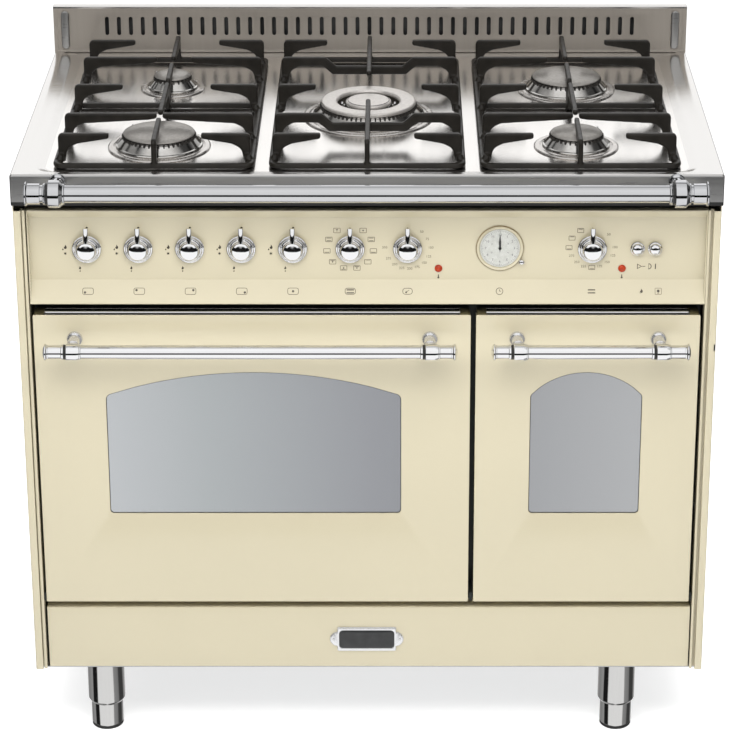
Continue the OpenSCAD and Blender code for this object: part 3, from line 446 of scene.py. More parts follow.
# ------------------------------------------------------------------ mesh helpers (all take millimetres)
def add_mesh(name, verts, faces, mat, smooth=30):
    me = bpy.data.meshes.new(name)
    me.from_pydata([(v[0] * MM, v[1] * MM, v[2] * MM) for v in verts], [], faces)
    me.validate()
    ob = bpy.data.objects.new(name, me)
    scene.collection.objects.link(ob)
    me.materials.append(M[mat])
    ob["mat_key"] = mat
    fix_normals(me)
    shade(ob, smooth)
    return ob


def fix_normals(me):
    bm = bmesh.new()
    bm.from_mesh(me)
    bmesh.ops.recalc_face_normals(bm, faces=bm.faces)
    bm.to_mesh(me)
    bm.free()


def shade(ob, angle=30):
    me = ob.data
    for p in me.polygons:
        p.use_smooth = True
    me.set_sharp_from_angle(angle=math.radians(angle))


def bake(ob):
    """applies every modifier"""
    dg = bpy.context.evaluated_depsgraph_get()
    dg.update()
    me = bpy.data.meshes.new_from_object(ob.evaluated_get(dg), preserve_all_data_layers=True, depsgraph=dg)
    old = ob.data
    ob.modifiers.clear()
    if ob.type == "MESH":
        ob.data = me
        me.name = old.name
        return ob
    mats = [m for m in old.materials]
    new = bpy.data.objects.new(ob.name + "_m", me)
    new.matrix_world = ob.matrix_world.copy()
    scene.collection.objects.link(new)
    name = ob.name
    bpy.data.objects.remove(ob)
    new.name = name
    me.materials.clear()
    for m in mats:
        me.materials.append(m)
    return new


def bevel(ob, width, seg=2, angle=30):
    b = ob.modifiers.new("bevel", "BEVEL")
    b.width = width * MM
    b.segments = seg
    b.limit_method = "ANGLE"
    b.angle_limit = math.radians(angle)
    b.harden_normals = False
    bake(ob)
    shade(ob, 40)
    return ob


def join(name, obs, mat=None):
    obs = [o for o in obs if o]
    bm = bmesh.new()
    mats = []
    for o in obs:
        off = []
        for m in o.data.materials:
            if m not in mats:
                mats.append(m)
            off.append(mats.index(m))
        me = o.data.copy()
        me.transform(o.matrix_world)
        n0 = len(bm.faces)
        bm.from_mesh(me)
        bm.faces.ensure_lookup_table()
        for f in bm.faces[n0:]:
            f.material_index = off[min(f.material_index, len(off) - 1)] if off else 0
        bpy.data.meshes.remove(me)
    me = bpy.data.meshes.new(name)
    bm.to_mesh(me)
    bm.free()
    for m in mats:
        me.materials.append(m)
    key = obs[0].get("mat_key", "steel_x")
    for o in obs:
        bpy.data.objects.remove(o)
    ob = bpy.data.objects.new(name, me)
    ob["mat_key"] = mat or key
    scene.collection.objects.link(ob)
    return ob


def fillet(pts, radii, seg=4, closed=True):
    """rounds the corners of a flat outline; radii is a number or a list"""
    n = len(pts)
    out = []
    for i, p in enumerate(pts):
        r = radii if not isinstance(radii, (list, tuple)) else radii[i]
        if r <= 0 or (not closed and i in (0, n - 1)):
            out.append(tuple(p))
            continue
        a, b, c = Vector(pts[i - 1]), Vector(p), Vector(pts[(i + 1) % n])
        u, v = (a - b), (c - b)
        if u.length < 1e-6 or v.length < 1e-6:
            out.append(tuple(p))
            continue
        lu, lv = u.length, v.length
        u.normalize()
        v.normalize()
        ang = u.angle(v)
        if ang < 1e-3 or ang > math.pi - 1e-3:
            out.append(tuple(p))
            continue
        t = min(r / math.tan(ang / 2), lu * 0.48, lv * 0.48)
        rr = t * math.tan(ang / 2)
        mid = (u + v).normalized()
        cen = b + mid * (rr / math.sin(ang / 2))
        s, e = b + u * t - cen, b + v * t - cen
        a0 = math.atan2(s.y, s.x)
        a1 = math.atan2(e.y, e.x)
        d = (a1 - a0 + math.pi) % (2 * math.pi) - math.pi
        for k in range(seg + 1):
            th = a0 + d * k / seg
            out.append((cen.x + rr * math.cos(th), cen.y + rr * math.sin(th)))
    return out


def lathe(name, prof, origin, axis, mat, n=96, rad=0.0, seg=3, smooth=35, closed=True, rr=None):
    """turns (radius, height) points round an axis: 'x', 'z' or 'front' (out of the front, -Y)"""
    pts = fillet(prof, rr if rr is not None else rad, seg, closed) if (rad or rr) else prof
    pts = [(max(0.0, r), h) for r, h in pts]
    verts, faces = [], []
    rings = []
    for r, h in pts:
        if r < 1e-5:
            rings.append([len(verts)])
            verts.append((0, 0, h))
        else:
            rings.append(list(range(len(verts), len(verts) + n)))
            for k in range(n):
                th = 2 * math.pi * k / n
                verts.append((r * math.cos(th), r * math.sin(th), h))
    m = len(pts)
    for i in range(m if closed else m - 1):
        a, b = rings[i], rings[(i + 1) % m]
        if len(a) == 1 and len(b) == 1:
            continue
        for k in range(n):
            k2 = (k + 1) % n
            if len(a) == 1:
                faces.append((a[0], b[k], b[k2]))
            elif len(b) == 1:
                faces.append((a[k], b[0], a[k2]))
            else:
                faces.append((a[k], b[k], b[k2], a[k2]))
    ox, oy, oz = origin
    if axis == "z":
        verts = [(x + ox, y + oy, z + oz) for x, y, z in verts]
    elif axis == "x":
        verts = [(z + ox, x + oy, y + oz) for x, y, z in verts]
    else:
        verts = [(x + ox, oy - z, y + oz) for x, y, z in verts]
    return add_mesh(name, verts, faces, mat, smooth)


def prism(name, pts, axis, a0, a1, mat, bev=0.0, seg=2, smooth=35):
    """draws a flat outline out along an axis: x takes (y, z), y takes (x, z), z takes (x, y)"""
    n = len(pts)
    mk = {"x": lambda p, a: (a, p[0], p[1]), "y": lambda p, a: (p[0], a, p[1]), "z": lambda p, a: (p[0], p[1], a)}[axis]
    verts = [mk(p, a0) for p in pts] + [mk(p, a1) for p in pts]
    faces = [tuple(range(n)), tuple(range(2 * n - 1, n - 1, -1))] + [(i, (i + 1) % n, (i + 1) % n + n, i + n) for i in range(n)]
    ob = add_mesh(name, verts, faces, mat, smooth)
    if bev:
        bevel(ob, bev, seg)
    return ob


def rbox(name, x0, x1, y0, y1, z0, z1, mat, bev=0.5, seg=2):
    return prism(name, [(x0, z0), (x1, z0), (x1, z1), (x0, z1)], "y", y0, y1, mat, bev, seg)


def rrect(x0, x1, y0, y1, r, seg=6):
    out = []
    for cx, cy, a in ((x1 - r, y0 + r, -90), (x1 - r, y1 - r, 0), (x0 + r, y1 - r, 90), (x0 + r, y0 + r, 180)):
        for k in range(seg + 1):
            th = math.radians(a + 90 * k / seg)
            out.append((cx + r * math.cos(th), cy + r * math.sin(th)))
    return out


def circle2(cx, cy, r, n=32):
    return [(cx + r * math.cos(2 * math.pi * k / n), cy + r * math.sin(2 * math.pi * k / n)) for k in range(n)]


def stadium(cx, cy, w, h, n=8):
    out = []
    for k in range(n + 1):
        th = math.pi * k / n
        out.append((cx + w / 2 * math.cos(th), cy + (h - w) / 2 + w / 2 * math.sin(th)))
    for k in range(n + 1):
        th = math.pi + math.pi * k / n
        out.append((cx + w / 2 * math.cos(th), cy - (h - w) / 2 + w / 2 * math.sin(th)))
    return out


def plate(name, outer, holes, y0, y1, mat, bev=0.8, seg=2, smooth=40):
    """a flat sheet in X and Z with holes; its edges are rounded front and back"""
    cu = bpy.data.curves.new(name, "CURVE")
    cu.dimensions = "2D"
    cu.fill_mode = "BOTH"
    for lst in [outer] + list(holes):
        sp = cu.splines.new("POLY")
        sp.points.add(len(lst) - 1)
        for i, p in enumerate(lst):
            sp.points[i].co = (p[0] * MM, p[1] * MM, 0, 1)
        sp.use_cyclic_u = True
    cu.extrude = max(1e-6, (abs(y1 - y0) / 2 - bev) * MM)
    cu.bevel_depth = bev * MM
    cu.bevel_resolution = seg
    cu.offset = -bev * MM
    cu.materials.append(M[mat])
    ob = bpy.data.objects.new(name, cu)
    scene.collection.objects.link(ob)
    ob = bake(ob)
    me = ob.data
    # local X, Y, Z -> X, Z, -Y
    me.transform(Matrix(((1, 0, 0, 0), (0, 0, -1, (y0 + y1) / 2 * MM), (0, 1, 0, 0), (0, 0, 0, 1))))
    bm = bmesh.new()
    bm.from_mesh(me)
    bmesh.ops.remove_doubles(bm, verts=bm.verts, dist=2e-6)
    bmesh.ops.recalc_face_normals(bm, faces=bm.faces)
    bm.to_mesh(me)
    bm.free()
    ob["mat_key"] = mat
    shade(ob, smooth)
    return ob


def tube(name, pts, r, mat, n=16, cyclic=False):
    cu = bpy.data.curves.new(name, "CURVE")
    cu.dimensions = "3D"
    sp = cu.splines.new("POLY")
    sp.points.add(len(pts) - 1)
    for i, p in enumerate(pts):
        sp.points[i].co = (p[0] * MM, p[1] * MM, p[2] * MM, 1)
    sp.use_cyclic_u = cyclic
    cu.bevel_depth = r * MM
    cu.bevel_resolution = n // 4
    cu.use_fill_caps = not cyclic
    cu.materials.append(M[mat])
    ob = bpy.data.objects.new(name, cu)
    scene.collection.objects.link(ob)
    ob = bake(ob)
    bm = bmesh.new()
    bm.from_mesh(ob.data)
    bmesh.ops.remove_doubles(bm, verts=bm.verts, dist=1e-6)
    bmesh.ops.recalc_face_normals(bm, faces=bm.faces)
    bm.to_mesh(ob.data)
    bm.free()
    ob["mat_key"] = mat
    shade(ob, 45)
    return ob


def label(txt, x, z, size, y, mat="ink", align="CENTER"):
    cu = bpy.data.curves.new("label", "FONT")
    cu.body = txt
    cu.size = size * MM
    cu.align_x, cu.align_y = align, "CENTER"
    cu.extrude = 0.00003
    cu.resolution_u = 2
    cu.materials.append(M[mat])
    ob = bpy.data.objects.new("label", cu)
    scene.collection.objects.link(ob)
    ob = bake(ob)
    ob.data.transform(Matrix(((1, 0, 0, x * MM), (0, 0, -1, y * MM), (0, 1, 0, z * MM), (0, 0, 0, 1))))
    ob["mat_key"] = mat
    return ob


def ride(ob, body, *nodes, name=None):
    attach(ob, body)
    if nodes:
        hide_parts(*nodes)
    return ob


def screw(name, x, y, z, r, mat="zinc", axis="front", h=2.2, cross=True):
    """domed cross-head screw"""
    ob = lathe(name, [(0, 0), (r, 0), (r, 0.5), (r * 0.8, h * 0.72), (r * 0.4, h * 0.97), (0, h)], (x, y, z), axis, mat, 32, 0.2, 2)
    return ob


# ------------------------------------------------------------------ CAD nodes that keep their shape
def paint_cad():
    look = {"steel_x": ["shelf_runners", "fan_impeller", "main_door_liner", "small_door_liner"], "zinc": ["oven_controls", "rear_panel", "base_pan", "fan_motor", "main_door_hinges", "small_door_hinges"]
            + ["gas_spindle_%d" % i for i in range(1, 6)], "brass": ["gas_manifold"], "dark": ["front_frame"], "oven": ["main_cavity", "small_cavity", "fan_cover"], "seal": ["door_seals"],
            "element": ["heating_elements"], "chrome_satin": ["wire_shelves"], "enamel": ["control_panel", "plinth_panel", "main_door_panel", "small_door_panel", "side_panel_left", "side_panel_right"],
            "iron": ["pan_support_left", "pan_support_centre", "pan_support_right"], "alu": ["burner_cups", "burner_heads"], "cap": ["burner_caps"], "steel_leg": ["leg_tubes", "foot_inserts"],
            "chrome": ["hob_rail", "main_door_handle", "small_door_handle", "clock_case", "clock_crown", "lamp_button", "ignition_button", "name_plate", "function_knob", "thermostat_knob", "small_oven_knob"]
            + ["gas_knob_%d" % i for i in range(1, 6)], "black": ["clock_minute_hand", "clock_hour_hand"], "lamp": ["pilot_lamps"], "glass_oven_painted_reflection": ["main_door_window", "small_door_window"],
            "steel_up": ["worktop"], "steel_splash": ["splashback"]}
    for key, names in look.items():
        for n in names:
            me = NODES[n].data
            me.materials.clear()
            me.materials.append(M[key])


make_materials()
setup_camera()
setup_light()
paint_cad()

# ------------------------------------------------------------------ hob and upstand
def loft(name, rings, mat, closed=True, smooth=35):
    n = len(rings[0])
    verts = [p for r in rings for p in r]
    faces = []
    m = len(rings)
    for i in range(m if closed else m - 1):
        a, b = i * n, ((i + 1) % m) * n
        for k in range(n):
            k2 = (k + 1) % n
            faces.append((a + k, a + k2, b + k2, b + k))
    if not closed:
        faces.append(tuple(range(n)))
        faces.append(tuple(range(len(verts) - 1, len(verts) - 1 - n, -1)))
    return add_mesh(name, verts, faces, mat, smooth)


def flat_sheet(name, outer, holes, z0, z1, mat, bev=0.0, smooth=40):
    """like plate(), but lying flat: outline in X and Y"""
    ob = plate(name, outer, holes, -z1, -z0, mat, bev, 1, smooth)
    # X, Z, -Y back to X, Y, Z
    ob.data.transform(Matrix(((1, 0, 0, 0), (0, 0, 1, 0), (0, -1, 0, 0), (0, 0, 0, 1))))
    return ob


def hob():
    def ring(ix, y0, y1, r, z, drop=0.0):
        return [(x, y, z - drop) for x, y in rrect(-ix, ix, y0, y1, r, 8)]
    T = 1.5
    out = []
    out.append(ring(500, LIP, UP, 3.0, TOP - 46))
    # painted shadow: this ring bounds the lip's lowest band, which is painted black
    out.append(ring(500, LIP, UP, 3.0, TOP - 40.5))
    out.append(ring(500, LIP, UP, 3.0, TOP - 3.8))
    for k in range(1, 7):
        a = math.radians(90 * k / 6)
        i = 3.8 * (1 - math.cos(a))
        out.append(ring(500 - i, LIP + i, UP - i * 0.2, 3.0, TOP - 3.8 + 3.8 * math.sin(a)))
    # raised rim, then a crease down to the border
    out.append(ring(487, LIP + 7, UP - 1.4, 6, TOP))
    out.append(ring(483, LIP + 10, UP - 2.2, 6, TOP - 1.0))
    out.append(ring(470, LIP + 13, UP - 2.5, 13, TOP - 1.0))
    for k in range(1, 11):
        t = k / 10
        s = t * t * (3 - 2 * t)
        i = 15 * (1 - t)
        out.append(ring(454 + i, -240 - i * 0.75, 300 + i * 0.8, 22 + 2 * (1 - t), TOP - 1.0 - 3 * s))
    under = []
    for r in reversed(out[3:]):
        under.append([(x, y, z - T) for x, y, z in r])
    under.append(ring(500 - T, LIP + T, UP - T, 1.6, TOP - 6))
    under.append(ring(500 - T, LIP + T, UP - T, 1.6, TOP - 46))
    rim = loft("hob_rim", out + under, "steel_x", True, 40)
    # painted shade: the folded front edge, picked out by its facing, takes a darker copy of the brushed steel than the
    # top
    rim.data.materials.append(M["steel_lip"])
    # painted shadow: black for the lip's lowest band, standing in for the shadow in the gap above the control panel
    rim.data.materials.append(M["black"])
    for f in rim.data.polygons:
        if f.normal.z < 0.75 and f.center.z < (TOP - 0.8) * MM:
            f.material_index = 2 if f.center.z < (TOP - 40.5) * MM else 1
    holes = [circle2(b[0], b[1], b[3] * 0.66 + 0.5, 48) for b in BURNERS]
    floor = flat_sheet("hob_floor", rrect(-454, 454, -240, 300, 22, 8), holes, WELL - 1.5, WELL, "steel_well")
    ob = join("hob_pressing", [rim, floor], "steel_x")
    ride(ob, "cabinet", "worktop")


def upstand():
    z1 = TOP + 75
    z0 = TOP - 46
    slots = [stadium((i - 22) * 18.85 - 1, TOP + 42, 6.0, 30, 8) for i in range(45)]
    # painted shade: the face, ends, seams, low sheet and cove take the darker shaded steel, while the folded top keeps
    # the bright steel
    face = plate("face", [(-500, z0 + 0.2), (500, z0 + 0.2), (500, z1 - 3.2), (-500, z1 - 3.2)], slots, UP, UP + 1.6, "steel_splash", 0.75, 2)
    # folded top, ends and back as one bent sheet
    prof = fillet([(UP + 0.02, z1 - 5), (UP + 0.02, z1), (REAR, z1), (REAR, z0), (REAR - 1.5, z0), (REAR - 1.5, z1 - 1.5), (UP + 1.55, z1 - 1.5), (UP + 1.55, z1 - 5)], [0, 2.0, 3.0, 0.4, 0.4, 1.5, 0.8, 0], 5)
    top = prism("top", prof, "x", -500, 500, "steel_x", 0, 2, 40)
    parts = [face, top]
    for s in (-1, 1):
        x0, x1 = (-500, -498.5) if s < 0 else (498.5, 500)
        parts.append(prism("end", [(UP + 0.4, z0 + 0.3), (REAR - 0.3, z0 + 0.3), (REAR - 0.3, z1 - 0.8), (UP + 0.4, z1 - 0.8)], "x", x0, x1, "steel_splash", 0.4))
        # pressed vertical bead near each end
        # painted shade: the bead takes the darker copy of the steel
        rib = prism("rib", stadium(s * 481.5, TOP + 36, 12.5, 62, 10), "y", UP - 3.2, UP + 1.0, "steel_lip", 2.9, 5, 60)
        parts.append(rib)
        # narrow folded seam where the end cap meets the face
        parts.append(rbox("seam", s * 494.5 - 0.5, s * 494.5 + 0.5, UP - 0.5, UP + 0.5, TOP + 2, z1 - 5, "steel_splash", 0.25))
    low = rbox("low", -496, 496, BACK + 1.8, REAR - 1.6, z0 + 0.2, z0 + 1.7, "steel_splash", 0.3)
    parts.append(low)
    # painted shade: a near-black plate behind the slots stands in for the shade inside the upstand
    parts.append(rbox("liner", -470, 470, REAR - 3.6, REAR - 2.2, z0 + 2.2, z1 - 2.4, "plate_dark", 0.2, 1))
    # cove where the upstand meets the hob
    fold = prism("fold", fillet([(UP - 3.2, TOP + 0.02), (UP + 0.3, TOP + 0.02), (UP + 0.3, TOP + 4), (UP - 0.3, TOP + 4), (UP - 0.4, TOP + 0.9), (UP - 3.2, TOP + 0.5)], [0.2, 0, 0, 0.2, 1.6, 0.2], 4), "x", -496, 496, "steel_splash", 0, 1, 60)
    parts.append(fold)
    ob = join("upstand_pressing", parts, "steel_splash")
    ride(ob, "cabinet", "splashback")


# ------------------------------------------------------------------ pan supports
def finger_outline(a, b, slope=20):
    """outer end a, tip b, as (along, height) points"""
    s = 1 if b > a else -1
    pts = [(a, WELL + 2), (a, SUPZ), (b, SUPZ), (b, SUPZ - 7.5), (b - s * slope * 0.55, SUPZ - 9.5), (a + s * slope * 1.35, SUPZ - 15), (a + s * 13, SUPZ - 22), (a + s * 9.5, WELL + 2)]
    rad = [0, 6.5, 2.6, 3.0, 12, 16, 14, 0]
    return fillet(pts, rad, 5)


def remeshed(name, obs, mat, voxel=1.7, smooth_it=2):
    ob = join(name, obs, mat)
    r = ob.modifiers.new("remesh", "REMESH")
    r.mode = "VOXEL"
    r.voxel_size = voxel * MM
    r.use_smooth_shade = True
    s = ob.modifiers.new("smooth", "SMOOTH")
    s.factor = 0.5
    s.iterations = smooth_it
    bake(ob)
    for p in ob.data.polygons:
        p.use_smooth = True
    ob.data.materials.clear()
    ob.data.materials.append(M[mat])
    ob["mat_key"] = mat
    return ob


def supports():
    def frame_loop(x0, x1):
        y0, y1 = -233, 279
        out = rrect(x0, x1, y0, y1, 16, 8)
        inn = rrect(x0 + 10, x1 - 10, y0 + 10, y1 - 10, 7, 8)
        prof_lo = [(p[0], p[1], WELL + 1) for p in out]
        hi = [(p[0], p[1], WELL + 8.5) for p in out]
        ilo = [(p[0], p[1], WELL + 1) for p in inn]
        ihi = [(p[0], p[1], WELL + 8.5) for p in inn]
        ob = loft("frame", [prof_lo, hi, ihi, ilo], "iron", True)
        bevel(ob, 2.6, 3, 40)
        return ob

    def lug(x, y, sx, sy):
        """small rounded lug where a post meets the frame"""
        return lathe("lug", [(0, 0), (5.6, 0), (5.6, 7), (4.0, 11.5), (0, 13)], (x + sx * 6.5, y + sy * 6.5, WELL + 3), "z", "iron", 20, 1.5, 2)

    def fx(a, b, y, w=8.6):
        return prism("f", finger_outline(a, b), "y", y - w / 2, y + w / 2, "iron", 1.4, 3)

    def fy(a, b, x, w=7.2):
        return prism("f", finger_outline(a, b, 18), "x", x - w / 2, x + w / 2, "iron", 2.0, 3)

    for m, body in ((1, "left"), (-1, "right")):
        x0, x1, c = -443., -159., -300.
        X = lambda v: v * m
        parts = [frame_loop(min(X(x0), X(x1)), max(X(x0), X(x1)))]
        parts.append(rbox("cross", min(X(x0 + 5), X(x1 - 5)), max(X(x0 + 5), X(x1 - 5)), 39, 49, WELL + 1, WELL + 8.5, "iron", 2.4, 3))
        for i, y in enumerate(ROWS):
            tip0 = {1: c - 4.2, 3: c - 24}.get(i, x0 + 78)
            tip1 = {1: c + 4.2, 3: c + 27}.get(i, x1 - 76)
            parts.append(fx(X(x0 + 6), X(tip0), y))
            parts.append(fx(X(x1 - 6), X(tip1), y))
            parts.append(lug(X(x0 + 9), y, 0, -1))
            parts.append(lug(X(x1 - 9), y, 0, -1))
        for a, b in ((-233, -129), (39, -99), (49, 134), (279, 162)):
            parts.append(fy(a, b, X(c)))
        ob = remeshed("grate_" + body, parts, "iron", 1.5, 2)
        ride(ob, "support_" + body, "pan_support_" + body)
    x0, x1 = -139., 139.
    a0, a1 = x0 + 5, x1 - 5
    parts = [frame_loop(x0, x1)]
    for s in (-1, 1):
        for i in (0, 2, 4):
            parts.append(fx(s * a1, s * (78 if i == 2 else 66), ROWS[i]))
        for y in ROWS:
            parts.append(lug(s * (a1 - 3), y, 0, -1))
    for y in (ROWS[1], ROWS[3]):
        pts = [(a0, WELL + 2), (a0, SUPZ), (-67, SUPZ), (-51, SUPZ - 14), (51, SUPZ - 14), (67, SUPZ), (a1, SUPZ), (a1, WELL + 2), (a1 - 9.5, WELL + 2), (a1 - 13, SUPZ - 22), (a1 - 27, SUPZ - 14), (71, SUPZ - 14),
               (56, SUPZ - 27), (-56, SUPZ - 27), (-71, SUPZ - 14), (a0 + 27, SUPZ - 14), (a0 + 13, SUPZ - 22), (a0 + 9.5, WELL + 2)]
        rad = [0, 6.5, 4, 4, 4, 4, 6.5, 0, 0, 14, 12, 4, 4, 4, 4, 12, 14, 0]
        parts.append(prism("b", fillet(pts, rad, 5), "y", y - 4.3, y + 4.3, "iron", 1.4, 3))
    parts.append(fy(-233, -43, 0))
    parts.append(fy(279, 87, 0))
    ob = remeshed("grate_centre", parts, "iron", 1.5, 2)
    ride(ob, "support_centre", "pan_support_centre")


# ------------------------------------------------------------------ burners
def burners():
    cups, heads, caps, teeth, probes = [], [], [], [], []
    for b in BURNERS:
        x, y, ring, head, cap = b
        rc = head * 0.66
        # pressed base ring with a rolled outer edge and a raised inner step
        prof = [(rc - 2, -36), (4, -36), (4, -39), (rc, -39), (rc, 0.05), (ring - 1.5, 0.05), (ring, 0.9), (ring - 2.5, 2.3), (ring - 8, 2.0), (ring - 11, 2.9), (rc - 2, 2.95)]
        cups.append(lathe("cup", prof, (x, y, WELL), "z", "steel_disc", 112, rr=[0, 0, 0, 0, 0, 0.3, 0.8, 1.2, 1.5, 1.5, 0], smooth=50))
        r1, r2 = cap + (12 if x == 0 else 11), cap - 1.2
        prof = [(head * 0.66 - 2, 0), (r1, 0), (r1 + 0.6, 1.2), (r1 + 0.2, 2.6), (r1 - 2.2, 3.4), (r2 + 1.2, 12.6), (r2 - 0.8, 14.2), (r2 - 0.8, 17), (cap * 0.9, 17), (cap * 0.9, 13), (head * 0.66 - 2, 4)]
        heads.append(lathe("head", prof, (x, y, WELL + 3), "z", "alu", 112, rr=[0, 0.3, 0.5, 0.8, 1.2, 1.2, 0.4, 0, 0, 0.5, 0.5], smooth=50))
        n = int(2 * math.pi * r2 / 7.0)
        for k in range(n):
            th = 2 * math.pi * (k + 0.5) / n
            t = rbox("tooth", -0.85, 0.85, -3.2, 1.0, 0.6, 5.0, "port", 0.25, 1)
            t.data.transform(Matrix.Translation(((x + (r2 - 0.2) * math.sin(th)) * MM, (y - (r2 - 0.2) * math.cos(th)) * MM, (WELL + 3 + 11.2) * MM)) @ Matrix.Rotation(th, 4, "Z"))
            teeth.append(t)
        # painted shade: a dark band under the cap, behind the teeth, stands in for the shade inside the port slots
        teeth.append(lathe("band", [(r2 - 2.2, 15.7), (r2 - 0.6, 15.8), (r2 - 0.6, 16.9), (r2 - 2.2, 16.9)], (x, y, WELL + 3), "z", "port", 96))
        if x == 0:
            prof = [(46, 0), (cap - 0.6, 0), (cap, 0.8), (cap - 0.2, 3.6), (cap - 1.6, 5.1), (cap - 4, 5.7), (51, 5.9), (48, 5.2), (46, 2.8)]
            caps.append(lathe("cap_ring", prof, (x, y, WELL + 20), "z", "cap_pale", 128, rr=[0.2, 0.4, 0.5, 1.0, 1.2, 2, 2, 1.0, 0.4], smooth=50))
            prof = [(0, 0), (33, 0), (34, 0.9), (33.6, 3.6), (31.8, 5.2), (28, 6.0), (0, 6.7)]
            c = lathe("cap_in", prof, (x, y, WELL + 20.2), "z", "cap_pale", 96, rr=[0, 0.3, 0.5, 1.0, 1.2, 6, 0], smooth=50)
            caps.append(c)
            caps.append(lathe("cap_line", [(30.3, 5.35), (31.0, 5.2), (31.0, 5.75), (30.3, 5.95)], (x, y, WELL + 20.2), "z", "port", 96))
            prof = [(20, 0), (46, 0), (46, 3), (40, 3.2), (35, 9), (33.4, 15), (32, 17), (28, 17), (28, 4), (20, 4)]
            heads.append(lathe("head_in", prof, (x, y, WELL + 3), "z", "alu", 96, rr=[0, 0.3, 0.4, 1, 2, 1, 0.4, 0, 0, 0], smooth=50))
            for k in range(30):
                th = 2 * math.pi * k / 30
                t = rbox("tooth", -0.8, 0.8, -2, 0.9, 0, 4.0, "port", 0.2, 1)
                t.data.transform(Matrix.Translation(((x + 33.0 * math.sin(th)) * MM, (y - 33.0 * math.cos(th)) * MM, (WELL + 3 + 12.2) * MM)) @ Matrix.Rotation(th, 4, "Z"))
                teeth.append(t)
            # bridges across the trough between the two rings, and two posts
            for th in (math.radians(75), math.radians(105), math.radians(-75), math.radians(-105), 0.35, -0.35, math.pi + 0.35, math.pi - 0.35):
                t = rbox("bridge", -2.2, 2.2, 33, 45, 3, 12.5, "alu", 0.8, 2)
                t.data.transform(Matrix.Translation((x * MM, y * MM, (WELL + 3) * MM)) @ Matrix.Rotation(th, 4, "Z"))
                heads.append(t)
            for s in (-1, 1):
                probes.append(lathe("post", [(0, 0), (3.4, 0), (3.4, 8), (2.4, 9), (2.4, 13.5), (1.2, 15.6), (0, 16.4)], (x + s * 39, y + 2, WELL + 6), "z", "chrome_satin", 32, 0.5, 2))
        else:
            prof = [(0, 0), (cap - 1.0, 0), (cap, 0.5), (cap + 0.05, 1.1), (cap - 0.5, 1.9), (cap * 0.86, 4.2), (cap * 0.62, 5.9), (cap * 0.3, 6.8), (0, 7.0)]
            c = lathe("cap", prof, (x, y, WELL + 20), "z", "cap", 128, rr=[0, 0.3, 0.4, 0.5, 1.2, 10, 12, 10, 0], smooth=60)
            caps.append(c)
        # spark electrode with its ceramic sleeve beside the head
        a = math.radians(-140 if x < 0 else 140) if x else math.radians(180)
        ex, ey = x + (r1 + 3.2) * math.sin(a), y - (r1 + 3.2) * math.cos(a)
        probes.append(lathe("sleeve", [(0, 0), (2.6, 0), (2.6, 8), (1.9, 9.2), (0, 9.2)], (ex, ey, WELL + 2), "z", "ceramic", 24, 0.4, 2))
        probes.append(lathe("tip", [(0, 9), (0.9, 9), (0.9, 14.2), (0.4, 15.2), (0, 15.4)], (ex, ey, WELL + 2), "z", "zinc", 16, 0.2, 1))
    ride(join("burner_base_rings", cups, "steel_disc"), "cabinet", "burner_cups")
    ride(join("burner_bodies", heads, "alu"), "cabinet", "burner_heads")
    ride(join("burner_port_teeth", teeth, "port"), "cabinet")
    ride(join("burner_lids", caps, "cap"), "cabinet", "burner_caps")
    ride(join("burner_electrodes", probes, "ceramic"), "cabinet")


